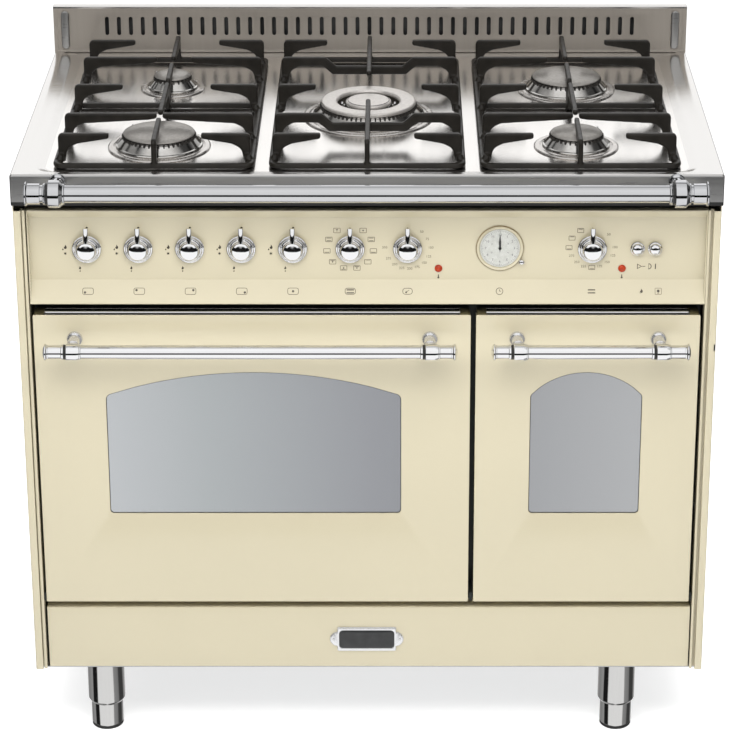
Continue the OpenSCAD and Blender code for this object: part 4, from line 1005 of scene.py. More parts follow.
# ------------------------------------------------------------------ rails and handles
def tube_rail(name, x0, x1, y, z, r, xc, cr, cw, re, pr, face_y, er, rn, el, node, body, post_mat="chrome_satin", mat="chrome"):
    """a plated tube with necked ends and barrel collars on posts; re is a collar's radius at its ends"""
    segs, black, posts = [], [], []
    segs.append(lathe("bar", [(0, x0 - 1), (r, x0 - 1), (r, x1 + 1), (0, x1 + 1)], (0, y, z), "x", mat, 72, rr=[0, 0.3, 0.3, 0]))
    for xx, s in ((x0, -1), (x1, 1)):
        # neck, then a domed disc with a rolled edge
        prof = [(0, 0), (rn, 0), (rn, s * (el - 6.4)), (er - 1.0, s * (el - 6.0)), (er, s * (el - 5.0)), (er, s * (el - 3.4)), (er - 1.4, s * (el - 2.6)), (er * 0.72, s * (el - 1.3)), (er * 0.36, s * (el - 0.3)), (0, s * el)]
        segs.append(lathe("end", prof, (xx, y, z), "x", mat, 72, rr=[0, 0.4, 0.5, 0.6, 0.6, 0.5, 1.2, 4, 4, 0], smooth=45))
    for x in xc:
        h = cw / 2
        g0, g1 = -h + 0.12 * cw, -h + 0.25 * cw
        rg = re + (cr - re) * 0.35
        flat = h - 0.24 * cw
        prof = [(r - 1, -h), (re, -h), (re + 0.5, -h + 0.8), (re + 0.5, -h + 2.0), (rg, g0), (rg - 1.4, g0 + 0.1), (rg - 1.4, g1 - 0.1), (cr - 0.6, g1), (cr, g1 + 0.8), (cr, flat), (re + 0.9, h - 2.6), (re + 0.5, h - 2.0), (re + 0.5, h - 0.8), (re, h), (r - 1, h)]
        segs.append(lathe("collar", prof, (x, y, z), "x", mat, 72, rr=[0, 0.2, 0.3, 0.4, 0.2, 0.2, 0.2, 0.3, 0.4, 1.4, 0.5, 0.3, 0.3, 0.2, 0], smooth=45))
        black.append(lathe("groove", [(rg - 2.0, g0 + 0.12), (rg - 0.7, g0 + 0.12), (rg - 0.7, g1 - 0.12), (rg - 2.0, g1 - 0.12)], (x, y, z), "x", "black", 72))
        # post back to the panel: collar bead, shaft, flared foot
        d = abs(face_y - y)
        prof = [(0, 0), (pr + 0.8, 0), (pr + 0.8, cr - 0.5), (pr + 1.8, cr + 0.6), (pr + 1.8, cr + 2.6), (pr, cr + 3.8), (pr, cr + 5.4), (pr + 1.6, cr + 6.6), (pr + 1.6, cr + 8.6), (pr, cr + 9.8), (pr, d - 7.0), (pr + 2.4, d - 5.0), (pr + 3.4, d - 3.0), (pr + 3.4, d - 0.6), (pr + 3.0, d), (0, d)]
        posts.append(lathe("post", [(a, -b) for a, b in prof], (x, y, z), "front", post_mat, 48, rr=[0, 0, 0.3, 0.6, 0.6, 0.5, 0.5, 0.6, 0.6, 0.5, 1.0, 1.2, 1.0, 0.3, 0, 0], smooth=45))
    ride(join(name, segs, mat), body, node)
    ride(join(name + "_posts", posts, post_mat), body)
    ride(join(name + "_groove_rings", black, "black"), body)


# ------------------------------------------------------------------ control panel
PY0, PY1 = EDGE, FIELD


def panel():
    prof = [(EDGE, PT), (FIELD, PT - 15), (FIELD, PB + 32), (EDGE, PB + 2), (EDGE, PB), (EDGE + 14, PB), (EDGE + 14, PB + 1.5), (EDGE + 2.6, PB + 1.5),
            (FIELD + 1.5, PB + 32.4), (FIELD + 1.5, PT - 15.4), (EDGE + 2.4, PT - 1.5), (EDGE + 14, PT - 1.5), (EDGE + 14, PT)]
    rr = [1.6, 3.2, 3.2, 1.2, 1.2, 0.3, 0.3, 0.8, 1.8, 1.8, 0.8, 0.3, 0.3]
    pts = fillet(prof, rr, 5)
    body = prism("panel", pts, "x", -480, 480, "enamel", 0, 2, 50)
    cut = []
    for x in GAS_X + [FUNC_X, THERM_X, SMALL_X]:
        cut.append(prism("c", circle2(x, KZ, 6, 24), "y", FIELD - 4, FIELD + 5, "enamel"))
    cut.append(prism("c", circle2(CLOCK_X, KZ, 31.2, 48), "y", FIELD - 4, FIELD + 5, "enamel"))
    for x in LAMPS:
        cut.append(prism("c", circle2(x, LAMP_Z, 4.6, 24), "y", FIELD - 4, FIELD + 5, "enamel"))
    for x in (LIGHT_X, SPARK_X):
        cut.append(prism("c", circle2(x, KZ, 9.4, 32), "y", FIELD - 4, FIELD + 5, "enamel"))
    cut.append(prism("c", circle2(CROWN_X, CROWN_Z, 2.6, 16), "y", FIELD - 4, FIELD + 5, "enamel"))
    c = join("cutter", cut, "enamel")
    mod = body.modifiers.new("holes", "BOOLEAN")
    mod.operation = "DIFFERENCE"
    mod.solver = "EXACT"
    mod.object = c
    bake(body)
    bpy.data.objects.remove(c)
    shade(body, 40)
    parts = [body]
    # tray ends: the slopes return into a shallow end wall
    for s in (-1, 1):
        x0, x1 = (-480, -478.8) if s < 0 else (478.8, 480)
        parts.append(prism("tray_end", fillet([(EDGE + 0.6, PT - 0.6), (FIELD + 1.2, PT - 0.6), (FIELD + 1.2, PB + 0.6), (EDGE + 0.6, PB + 0.6)], 1.0, 3), "x", x0, x1, "enamel", 0.4))
    ob = join("control_fascia", parts, "enamel")
    ride(ob, "cabinet", "control_panel")


def knob_mesh(name, x, body, *nodes):
    y0 = FIELD - 4.5
    prof = [(0, 0), (20.6, 0), (21, 0.5), (21, 1.3), (20.2, 2.2), (19.3, 2.7), (18.9, 2.3), (18.4, 2.4), (17.9, 3.2), (17.2, 4.0), (16.7, 4.3), (16.3, 3.8), (15.7, 3.9), (15.0, 4.6), (14.2, 5.0), (13.6, 5.8), (13.6, 10.2), (13.1, 11.6), (12.0, 12.5), (9.5, 13.4), (5, 14.4), (0, 14.8)]
    rr = [0, 0.2, 0.3, 0.4, 0.3, 0.2, 0.2, 0.2, 0.3, 0.3, 0.2, 0.2, 0.2, 0.3, 0.3, 0.5, 1.0, 0.8, 0.8, 1.6, 3, 0]
    k = lathe("k", prof, (x, y0, KZ), "front", "chrome", 96, rr=rr, smooth=50)
    # pointer: a rounded fin that stands on the drum and rises past the skirt
    pts = fillet([(x - 3.7, y0 - 5.0), (x + 3.7, y0 - 5.0), (x + 3.7, y0 - 12.4), (x - 3.7, y0 - 12.4)], [0.8, 0.8, 3.4, 3.4], 8)
    n = len(pts)
    lean = lambda p, z: (p[0], p[1] + 0.2 * (z - KZ - 12) * min(1.0, max(0.0, (y0 - 5.0 - p[1]) / 7.4)), z)
    verts = [lean(p, z) for z in (KZ + 7, KZ + 33.3) for p in pts]
    faces = [tuple(range(n)), tuple(range(2 * n - 1, n - 1, -1))] + [(i, (i + 1) % n, (i + 1) % n + n, i + n) for i in range(n)]
    f = add_mesh("fin", verts, faces, "chrome", 50)
    bevel(f, 0.3, 2)
    ob = join(name, [k, f], "chrome")
    ride(ob, body, *nodes)
    return ob


def controls():
    for i, x in enumerate(GAS_X):
        knob_mesh("gas_knob_body_%d" % (i + 1), x, "gas_tap_%d" % (i + 1), "gas_knob_%d" % (i + 1))
    knob_mesh("function_knob_body", FUNC_X, "function_selector", "function_knob")
    knob_mesh("thermostat_knob_body", THERM_X, "thermostat", "thermostat_knob")
    knob_mesh("small_oven_knob_body", SMALL_X, "small_oven_control", "small_oven_knob")
    # push buttons: domed, with a thin flange
    for x, body, node in ((LIGHT_X, "lamp_push", "lamp_button"), (SPARK_X, "ignition_push", "ignition_button")):
        y0 = FIELD - 4.1
        prof = [(0, -14), (9, -14), (9, 0), (9.9, 0), (10.4, 0.5), (10.4, 1.2), (9.6, 1.9), (8.8, 2.2), (8.4, 3.6), (6.9, 5.4), (4.0, 6.6), (0, 7.1)]
        b = lathe("b", prof, (x, y0, KZ), "front", "chrome", 64, rr=[0, 0, 0.3, 0.2, 0.3, 0.3, 0.3, 0.3, 1.5, 2.5, 3, 0], smooth=40)
        ob = join(node + "_body", [b], "chrome")
        ride(ob, body, node)
    # lamps: faceted rim and domed lens
    lenses, rims = [], []
    for x in LAMPS:
        lenses.append(lathe("l", [(0, -13), (4.5, -13), (4.5, 0.1), (5.1, 0.1), (5.1, 1.0), (4.4, 2.2), (2.6, 3.3), (0, 3.7)], (x, FIELD, LAMP_Z), "front", "lamp", 48, rr=[0, 0, 0.2, 0.1, 0.3, 1.2, 2, 0]))
        rims.append(lathe("r", [(4.9, 0.05), (5.6, 0.05), (5.6, 0.8), (5.2, 1.1), (4.9, 1.1)], (x, FIELD, LAMP_Z), "front", "lamp_rim", 48, 0.15, 2))
    ride(join("lamp_lenses", lenses, "lamp"), "cabinet", "pilot_lamps")
    ride(join("lamp_rims", rims, "lamp_rim"), "cabinet")


def clock():
    R = 29.0
    o = (CLOCK_X, FIELD, KZ)
    parts = []
    case = lathe("case", [(27, -24), (31, -26), (31, 0.2), (29, 0.2), (29, -0.5), (27, -2.5)], o, "front", "zinc", 96, 0.3, 2)
    back = lathe("back", [(0, -26), (30.5, -26), (30.5, -24.4), (0, -24.4)], o, "front", "zinc", 96, 0.3, 2)
    # cream bezel, dished towards the dial
    bez = lathe("bez", [(28.6, -0.4), (28.6, 1.3), (29.4, 2.4), (31.2, 3.6), (32.6, 3.3), (33.2, 2.2), (33.2, 0.1), (29, 0.1)], o, "front", "enamel", 128, rr=[0.1, 0.4, 0.8, 0.9, 0.6, 0.5, 0, 0], smooth=50)
    parts += [case, back, bez]
    ring = []
    # rope-edged outer line
    ring.append(lathe("line", [(33.1, 0.05), (34.0, 0.05), (34.0, 1.3), (33.6, 1.7), (33.1, 1.5)], o, "front", "bead", 128, 0.25, 2))
    n = 96
    for k in range(n):
        th = 2 * math.pi * k / n
        s = lathe("bead", [(0, 0), (0.75, 0), (0.75, 0.7), (0.4, 1.15), (0, 1.25)], (CLOCK_X + 33.55 * math.sin(th), FIELD - 0.9, KZ + 33.55 * math.cos(th)), "front", "bead", 8, 0.15, 1)
        ring.append(s)
    dial = lathe("dial", [(0, -0.6), (28.9, -0.6), (28.9, 0.5), (28.2, 0.95), (26.9, 1.0), (0, 1.0)], o, "front", "dial", 128, rr=[0, 0, 0.2, 0.3, 0.3, 0], smooth=40)
    arbor = lathe("arbor", [(0, 0.9), (1.0, 0.9), (1.0, 3.6), (0, 3.8)], o, "front", "black", 24, rr=[0, 0, 0.2, 0])
    ink = []
    y = FIELD - 1.02
    for k in range(60):
        th = 2 * math.pi * k / 60
        L = 2.0 if k % 5 == 0 else 1.1
        w = 0.32 if k % 5 == 0 else 0.16
        t = rbox("t", -w, w, -0.04, 0.03, 25.6 - L, 25.6, "ink_grey", 0.0)
        t.data.transform(Matrix.Translation((CLOCK_X * MM, y * MM, KZ * MM)) @ Matrix.Rotation(th, 4, "Y"))
        ink.append(t)
    ink.append(lathe("c", [(26.2, 0), (26.45, 0), (26.45, 0.06), (26.2, 0.06)], (CLOCK_X, y + 0.02, KZ), "front", "ink_grey", 96))
    for h in range(1, 13):
        th = 2 * math.pi * h / 12
        ink.append(label(str(h), CLOCK_X + 20.3 * math.sin(th), KZ + 20.3 * math.cos(th), 5.0, y, "ink_grey"))
    for h in (2, 4, 8, 10):
        th = 2 * math.pi * h / 12
        ink.append(label(str(h + 12 if h < 12 else 24), CLOCK_X + 13.2 * math.sin(th), KZ + 13.2 * math.cos(th), 2.7, y, "ink_grey"))
    ride(join("clock_housing", parts, "enamel"), "cabinet", "clock_case")
    ride(join("clock_rope_edge", ring, "bead"), "cabinet")
    ride(join("clock_dial", [dial], "dial"), "cabinet")
    ride(join("clock_arbor", [arbor], "black"), "cabinet")
    ride(join("clock_numerals", ink, "ink_grey"), "cabinet")
    # hands: tapered blades with a boss
    for name, body, node, l, w, ya, yb, tail in (("minute_hand_blade", "minute_hand", "clock_minute_hand", 20.5, 2.2, FIELD - 3.4, FIELD - 2.65, 6.0), ("hour_hand_blade", "hour_hand", "clock_hour_hand", 15.5, 3.4, FIELD - 2.2, FIELD - 1.45, 4.0)):
        pts = [(0, -tail), (w * 0.35, -1.5), (w * 0.42, l * 0.30), (w * 0.5, l * 0.62), (0.35, l), (-0.35, l), (-w * 0.5, l * 0.62), (-w * 0.42, l * 0.30), (-w * 0.35, -1.5)]
        blade = prism("b", [(CLOCK_X + a, KZ + b) for a, b in pts], "y", ya, yb, "black", 0.12, 1)
        boss = lathe("boss", [(1.03, 0), (w * 0.5 + 0.5, 0), (w * 0.5 + 0.5, yb - ya), (1.03, yb - ya)], (CLOCK_X, yb, KZ), "front", "black", 32, 0.15, 2)
        ride(join(name, [blade, boss], "black"), body, node)
    # crown
    prof = [(0, -10), (2, -10), (2, 1.2), (3.2, 1.4), (4.0, 2.2), (4.2, 3.4), (4.2, 5.0), (3.6, 6.6), (2.2, 7.6), (0, 8.0)]
    c = lathe("c", prof, (CROWN_X, FIELD, CROWN_Z), "front", "chrome", 48, rr=[0, 0, 0.2, 0.5, 0.6, 0.8, 0.8, 1.2, 1.5, 0])
    parts = [c]
    for k in range(18):
        th = 2 * math.pi * k / 18
        t = rbox("n", -0.28, 0.28, -5.4, -2.6, 3.9, 4.45, "chrome", 0.12, 1)
        t.data.transform(Matrix.Translation((CROWN_X * MM, FIELD * MM, CROWN_Z * MM)) @ Matrix.Rotation(th, 4, "Y"))
        parts.append(t)
    ride(join("crown_body", parts, "chrome"), "crown", "clock_crown")
    # domed crystal
    g = lathe("g", [(0, 4.1), (14, 4.0), (24, 3.3), (28.4, 2.3), (28.4, 2.9), (24, 4.0), (14, 4.7), (0, 4.9)], o, "front", "glass_clear", 96, rr=[0, 8, 4, 0.2, 0.2, 4, 8, 0], smooth=60)
    ride(join("clock_crystal", [g], "glass_clear"), "cabinet")


# ------------------------------------------------------------------ printed marks
def on_strip(x, v):
    """a point on the panel's lower slope, v up the slope from its middle"""
    y0, z0 = EDGE, PB + 2
    y1, z1 = FIELD, PB + 32
    dy, dz = y1 - y0, z1 - z0
    L = math.hypot(dy, dz)
    my, mz = (y0 + y1) / 2, (z0 + z1) / 2
    return (x, my + dy / L * v, mz + dz / L * v)


def thin(name, outer, holes, T, mat="ink"):
    """a thin closed decal drawn in local X and Z, 0.06 mm thick, then placed by matrix T"""
    ob = plate(name, outer, holes, -0.03, 0.03, mat, 0.0, 0)
    ob.data.transform(T)
    return ob


def field_T(x, z, y=FIELD):
    return Matrix.Translation((x * MM, (y - 0.02) * MM, z * MM))


def strip_T(x, v=0.0):
    p = on_strip(x, v)
    a = math.atan2(FIELD - EDGE, 30.0)
    # slope faces up and forward: turn the plane of the decal about X
    n = Vector((0, -math.cos(a), math.sin(a)))
    return Matrix.Translation(((p[0]) * MM, (p[1] + n.y * 0.02) * MM, (p[2] + n.z * 0.02) * MM)) @ Matrix.Rotation(-a, 4, "X")


def outline_rect(cx, cz, w, h, r, t):
    o = rrect(cx - w / 2, cx + w / 2, cz - h / 2, cz + h / 2, r, 4)
    i = rrect(cx - w / 2 + t, cx + w / 2 - t, cz - h / 2 + t, cz + h / 2 - t, max(0.15, r - t), 4)
    return o, [i]


def bar2(cx, cz, w, h):
    return [(cx - w / 2, cz - h / 2), (cx + w / 2, cz - h / 2), (cx + w / 2, cz + h / 2), (cx - w / 2, cz + h / 2)]


def flame(cx, cz, s):
    pts = [(0, 1.0), (0.18, 0.62), (0.46, 0.28), (0.5, -0.12), (0.34, -0.5), (0.0, -0.62), (-0.34, -0.5), (-0.5, -0.1), (-0.36, 0.22), (-0.22, 0.1), (-0.14, 0.5)]
    return [(cx + a * s, cz + b * s) for a, b in pts]


def star(cx, cz, s, n=6):
    out = []
    for k in range(2 * n):
        r = s if k % 2 == 0 else s * 0.45
        th = math.pi * k / n
        out.append((cx + r * math.sin(th), cz + r * math.cos(th)))
    return out


def marks():
    ink, bold = [], []

    def put(outer, holes, x, z):
        ink.append(thin("m", outer, holes, field_T(x, z)))

    def put_bold(outer, holes, x, z):
        bold.append(thin("m", outer, holes, field_T(x, z), "ink_dark"))

    def put_strip(outer, holes, x, v=0.0):
        ink.append(thin("m", outer, holes, strip_T(x, v)))

    for i, x in enumerate(GAS_X):
        put_bold(circle2(0, 0, 1.7, 16), [], x + 1.0, KZ + 30.4)
        put_bold(flame(0, 0, 4.2), [], x - 30.6, 793.0)
        put_bold(flame(0, -0.4, 2.1)[::-1], [], x - 34.2, 790.2)
        put_bold(star(0, 0, 2.7), [], x - 31.0, 783.6)
        put_bold(flame(0, 0, 3.2), [], x - 11.0, 761.5)
        put_bold(flame(0, 0, 1.8), [], x - 11.0, 756.8)
        # position symbol on the strip
        o, h = outline_rect(0, 0, 16, 10, 3.0, 0.75)
        put_strip(o, h, x)
        dx, dz = [(-4.3, -1.7), (-4.0, 1.6), (4.0, 1.6), (4.3, -1.7), (0.0, 0.0)][i]
        put_strip(circle2(dx, dz, 1.75, 16), [], x)
    # function symbols: little ovens with bars and fans
    spots = [(18.5, 26.5), (30, 13), (33, -4.5), (25, -21), (9.5, -30.5), (-9.5, -30.5), (-25, -21), (-33, -4.5), (-30, 13), (-18.5, 26.5)]
    for k, (dx, dz) in enumerate(spots):
        o, h = outline_rect(0, 0, 10.0, 7.6, 1.0, 0.7)
        put(o, h, FUNC_X + dx, KZ + dz)
        if k in (1, 4, 6, 8):
            put(bar2(0, 2.0, 6.4, 0.9), [], FUNC_X + dx, KZ + dz)
        if k in (1, 2, 5, 7, 8):
            put(bar2(0, -2.0, 6.4, 0.9), [], FUNC_X + dx, KZ + dz)
        if k in (0, 4, 5, 6):
            put(star(0, 0, 1.7, 4), [], FUNC_X + dx, KZ + dz)
        if k == 9:
            put(bar2(0, 0.3, 0.9, 3.6), [], FUNC_X + dx, KZ + dz)
            put(bar2(0, 1.7, 3.4, 0.9), [], FUNC_X + dx, KZ + dz)
        if k == 3:
            for u in (-2.4, -0.8, 0.8, 2.4):
                put(bar2(u, 2.1, 0.8, 0.9), [], FUNC_X + dx, KZ + dz)
    put(circle2(0, 0, 1.35, 16), [], FUNC_X, KZ + 29.5)
    # thermostat scale
    put(circle2(0, 0, 1.35, 16), [], THERM_X, KZ + 29.5)
    for txt, dx, dz in (("50", 20, 24.5), ("75", 28, 13.5), ("100", 33, 0.5), ("125", 30, -13), ("150", 23.5, -22.5), ("175", 13.6, -29), ("200", 3.2, -31.5), ("225", -8.2, -30.6), ("250", -18.4, -25), ("275", -27, -16), ("MAX", -32.5, 0.8)):
        if txt == "MAX":
            txt = "300"
        ink.append(label(txt, THERM_X + dx, KZ + dz, 5.2, FIELD - 0.02, "ink"))
    # small oven: numbers and three symbols
    put(circle2(0, 0, 1.2, 16), [], SMALL_X, KZ + 29.5)
    for txt, dx, dz in (("50", 23, 20.5), ("100", 32, 1.0), ("125", 29.5, -11.5), ("150", 21.5, -21.5), ("175", 11.2, -28), ("225", -11.8, -28), ("250", -21.5, -21.5), ("275", -29, -12)):
        ink.append(label(txt, SMALL_X + dx, KZ + dz, 5.2, FIELD - 0.02, "ink"))
    for dx, dz, top, bot in ((0, -29.8, 0, 1), (-33, 0.4, 0, 1), (-29, 15, 1, 0), (-17, 26.5, 1, 0)):
        o, h = outline_rect(0, 0, 9.4, 7.0, 0.8, 0.7)
        put(o, h, SMALL_X + dx, KZ + dz)
        if top:
            put(bar2(0, 1.9, 6, 0.9), [], SMALL_X + dx, KZ + dz)
        if bot:
            put(bar2(0, -1.9, 6, 0.9), [], SMALL_X + dx, KZ + dz)
    # thermometer marks under the lamps
    for x in LAMPS:
        put(circle2(0, -1.4, 1.5, 16), [], x, 748.5)
        put(rrect(-0.7, 0.7, -1.0, 3.2, 0.6, 3), [], x, 748.5)
    # symbols under the push buttons: a spark and a lamp
    o = [(-4.6, 4.2), (2.6, 0), (-4.6, -4.2)]
    i = [(-3.6, 2.6), (0.8, 0), (-3.6, -2.6)]
    put(o, [i], SPARK_X - 20, 764)
    put(bar2(5.0, 0, 4.4, 1.0), [], SPARK_X - 20, 764)
    arc_o = [(4.6 * math.cos(math.radians(a)), 4.6 * math.sin(math.radians(a))) for a in range(-90, 91, 15)]
    arc_i = [(3.4 * math.cos(math.radians(a)), 3.4 * math.sin(math.radians(a))) for a in range(-80, 81, 16)]
    put(arc_o, [arc_i], SPARK_X - 8.5, 764)
    put(rrect(-0.75, 0.75, -4.2, 4.2, 0.6, 3), [], SPARK_X + 1.5, 764)
    # strip symbols: oven, thermostat, clock, oven, flame, lamp
    for x in (FUNC_X, SMALL_X):
        o, h = outline_rect(0, 0, 15.5, 9.5, 3.6, 0.8)
        if x == FUNC_X:
            put_strip(o, h, x)
        put_strip(bar2(0, 2.0, 10.4, 1.7), [], x)
        put_strip(bar2(0, -2.3, 10.8, 1.6), [], x)
    o, h = outline_rect(0, 0, 14.5, 9.5, 4.4, 0.8)
    put_strip(o, h, THERM_X)
    put_strip(circle2(-2.0, -1.6, 1.3, 14), [], THERM_X)
    put_strip([(-1.4, -1.2), (2.6, 1.6), (2.2, 2.1), (-1.9, -0.6)], [], THERM_X)
    put_strip(circle2(0, 0, 5.2, 28), [circle2(0, 0, 4.35, 28)[::-1]], CLOCK_X)
    put_strip(bar2(0, 1.4, 0.8, 2.8), [], CLOCK_X)
    put_strip(bar2(1.0, 0.1, 2.4, 0.8), [], CLOCK_X)
    put_strip(flame(0, 0, 4.0), [], LIGHT_X + 7)
    put_strip([(-2.9, -1.4), (-1.7, -3.4), (-1.3, -2.6)], [], LIGHT_X + 7)
    o, h = outline_rect(0, 0, 9.5, 9.5, 1.0, 0.55)
    put_strip(o, h, LIGHT_X + 31)
    put_strip(circle2(0, 0.4, 2.0, 16), [], LIGHT_X + 31)
    put_strip(bar2(0, -2.6, 2.4, 0.9), [], LIGHT_X + 31)
    ride(join("printed_marks", ink, "ink"), "cabinet")
    ride(join("printed_tap_marks", bold, "ink_dark"), "cabinet")


# ------------------------------------------------------------------ doors
def window_pts(x0, x1, g=0.0, r_low=5.5, r_sh=9.0, n=40):
    w = (x1 - x0) / 2
    rise = 36.0
    R = (w * w + rise * rise) / (2 * rise) + g
    cx, cz = (x0 + x1) / 2, WZ1 + rise - (R - g)
    half = w + g
    a = math.asin(half / R)
    low = WZ0 - g
    pts = [(x0 - g, low), (x1 + g, low)]
    arc = [(cx + R * math.sin(a - 2 * a * k / n), cz + R * math.cos(a - 2 * a * k / n)) for k in range(n + 1)]
    pts += arc
    rad = [r_low, r_low] + [0] * len(arc)
    rad[2] = r_sh
    rad[-1] = r_sh
    # fillet() limits a corner by its shorter neighbour, so thin out the arc near the shoulders
    keep = [0, 1, 2] + list(range(2 + 4, len(pts) - 4)) + [len(pts) - 1]
    pts = [pts[i] for i in keep]
    rad = [rad[i] for i in keep]
    return fillet(pts, rad, 5)


def door(tag, x0, x1, wx0, wx1, body):
    # outer pressing: face with a rolled window edge, then returned sides
    face = plate("face", rrect(x0, x1, DZ0, DZ1, 2.4, 5), [window_pts(wx0, wx1)], SKIN, SKIN + 1.9, "enamel", 0.9, 3, 50)
    rings = []
    zt = DZ1 - 8
    for ins, y in ((0.0, SKIN + 1.0), (0.0, SKIN + 32.0), (1.2, SKIN + 32.0), (1.2, SKIN + 1.0)):
        rings.append([(p[0], y, p[1]) for p in rrect(x0 + ins, x1 - ins, DZ0 + ins, zt - ins, max(0.6, 1.2 - ins), 5)])
    wall = loft("wall", rings, "enamel", True, 50)
    parts = [face, wall]
    ob = join(tag + "_door_pressing", parts, "enamel")
    # holes for the hinge pins through the side walls
    cut = [prism("c", circle2(SKIN + 7, DZ0 + 6, 4.5, 24), "x", x - 3, x + 3, "enamel") for x in (x0, x1)]
    c = join("cutter", cut, "enamel")
    mod = ob.modifiers.new("holes", "BOOLEAN")
    mod.operation = "DIFFERENCE"
    mod.solver = "EXACT"
    mod.use_self = True
    mod.object = c
    bake(ob)
    bpy.data.objects.remove(c)
    shade(ob, 40)
    ride(ob, body, tag + "_door_panel")
    # top edge: dark channel floors, a bright strip between them and a black strip over the liner's top
    ch = [rbox("ch", x0 + 15.8, x1 - 15.8, SKIN + 1.8, SKIN + 32.0, zt, zt + 0.8, "black", 0.2, 1),
          rbox("gk", x0 + 3, x1 - 3, SKIN + 31.4, SKIN + 36.2, DZ1 - 1.6, DZ1 - 0.7, "black", 0.3, 1)]
    ride(join(tag + "_door_top_channel", ch, "black"), body)
    # end caps that close the channel, in the dark painted-shade enamel
    caps = [rbox("end", a, b, SKIN + 2.0, SKIN + 31.8, zt - 0.4, DZ1 - 0.8, "olive", 0.6, 2) for a, b in ((x0 + 1.3, x0 + 15), (x1 - 15, x1 - 1.3))]
    ride(join(tag + "_door_top_ends", caps, "olive"), body)
    # half-round bright strip
    cy, cz, rad = SKIN + 25.5, DZ1 - 6.2, 5.4
    arc = [(cy + rad * math.cos(math.radians(a)), cz + rad * math.sin(math.radians(a))) for a in range(0, 181, 12)]
    st = prism("st", arc + [(cy - rad, zt + 0.6), (cy + rad, zt + 0.6)], "x", x0 + 15.2, x1 - 15.2, "chrome_satin", 0, 2, 50)
    ride(join(tag + "_door_top_strip", [st], "chrome_satin"), body)
    # outer glass behind the opening, inner pane in the liner
    g1 = plate("g", window_pts(wx0, wx1, 8.5), [], SKIN + 1.95, SKIN + 5.4, "glass_oven_painted_reflection", 0.0, 0)
    ride(join(tag + "_door_outer_glass", [g1], "glass_oven_painted_reflection"), body, tag + "_door_window")
    # thin dark gasket line round the glass
    gk = plate("gk", window_pts(wx0, wx1, 0.6), [window_pts(wx0, wx1, -0.9, 4.8, 8.0)], SKIN + 1.3, SKIN + 2.1, "black", 0.15, 1)
    ride(join(tag + "_door_glass_gasket", [gk], "black"), body)
    g2 = plate("g", rrect(wx0 - 12, wx1 + 12, WZ0 - 11, WZ1 + 47, 3, 3), [], SKIN + 24, SKIN + 28, "glass_inner", 0.3, 1)
    ride(join(tag + "_door_inner_glass", [g2], "glass_inner"), body)
    # seen from inside: pressed liner with a raised glass frame and screws
    fr = plate("fr", rrect(wx0 - 20, wx1 + 20, WZ0 - 20, WZ1 + 56, 8, 5), [rrect(wx0 - 3, wx1 + 3, WZ0 - 3, WZ1 + 39, 5, 5)], SKIN + 36.0, SKIN + 38.2, "steel_up", 0.6, 2)
    parts = [fr]
    for sx in (wx0 - 12, (wx0 + wx1) / 2, wx1 + 12):
        for sz in (WZ0 - 11.5, WZ1 + 47.5):
            s = lathe("s", [(0, 0), (3.4, 0), (3.4, 0.5), (2.4, 1.6), (0, 2.0)], (sx, 0, sz), "front", "zinc", 20, 0.2, 1)
            s.data.transform(Matrix.Translation((0, (SKIN + 38.0) * MM, 0)) @ Matrix.Rotation(math.pi, 4, "Z") @ Matrix.Translation((0, 0, 0)))
            # turning about Z mirrors x, so put it back
            s.data.transform(Matrix.Translation((2 * sx * MM, 0, 0)))
            parts.append(s)
    ride(join(tag + "_door_glass_frame", parts, "steel_up"), body)


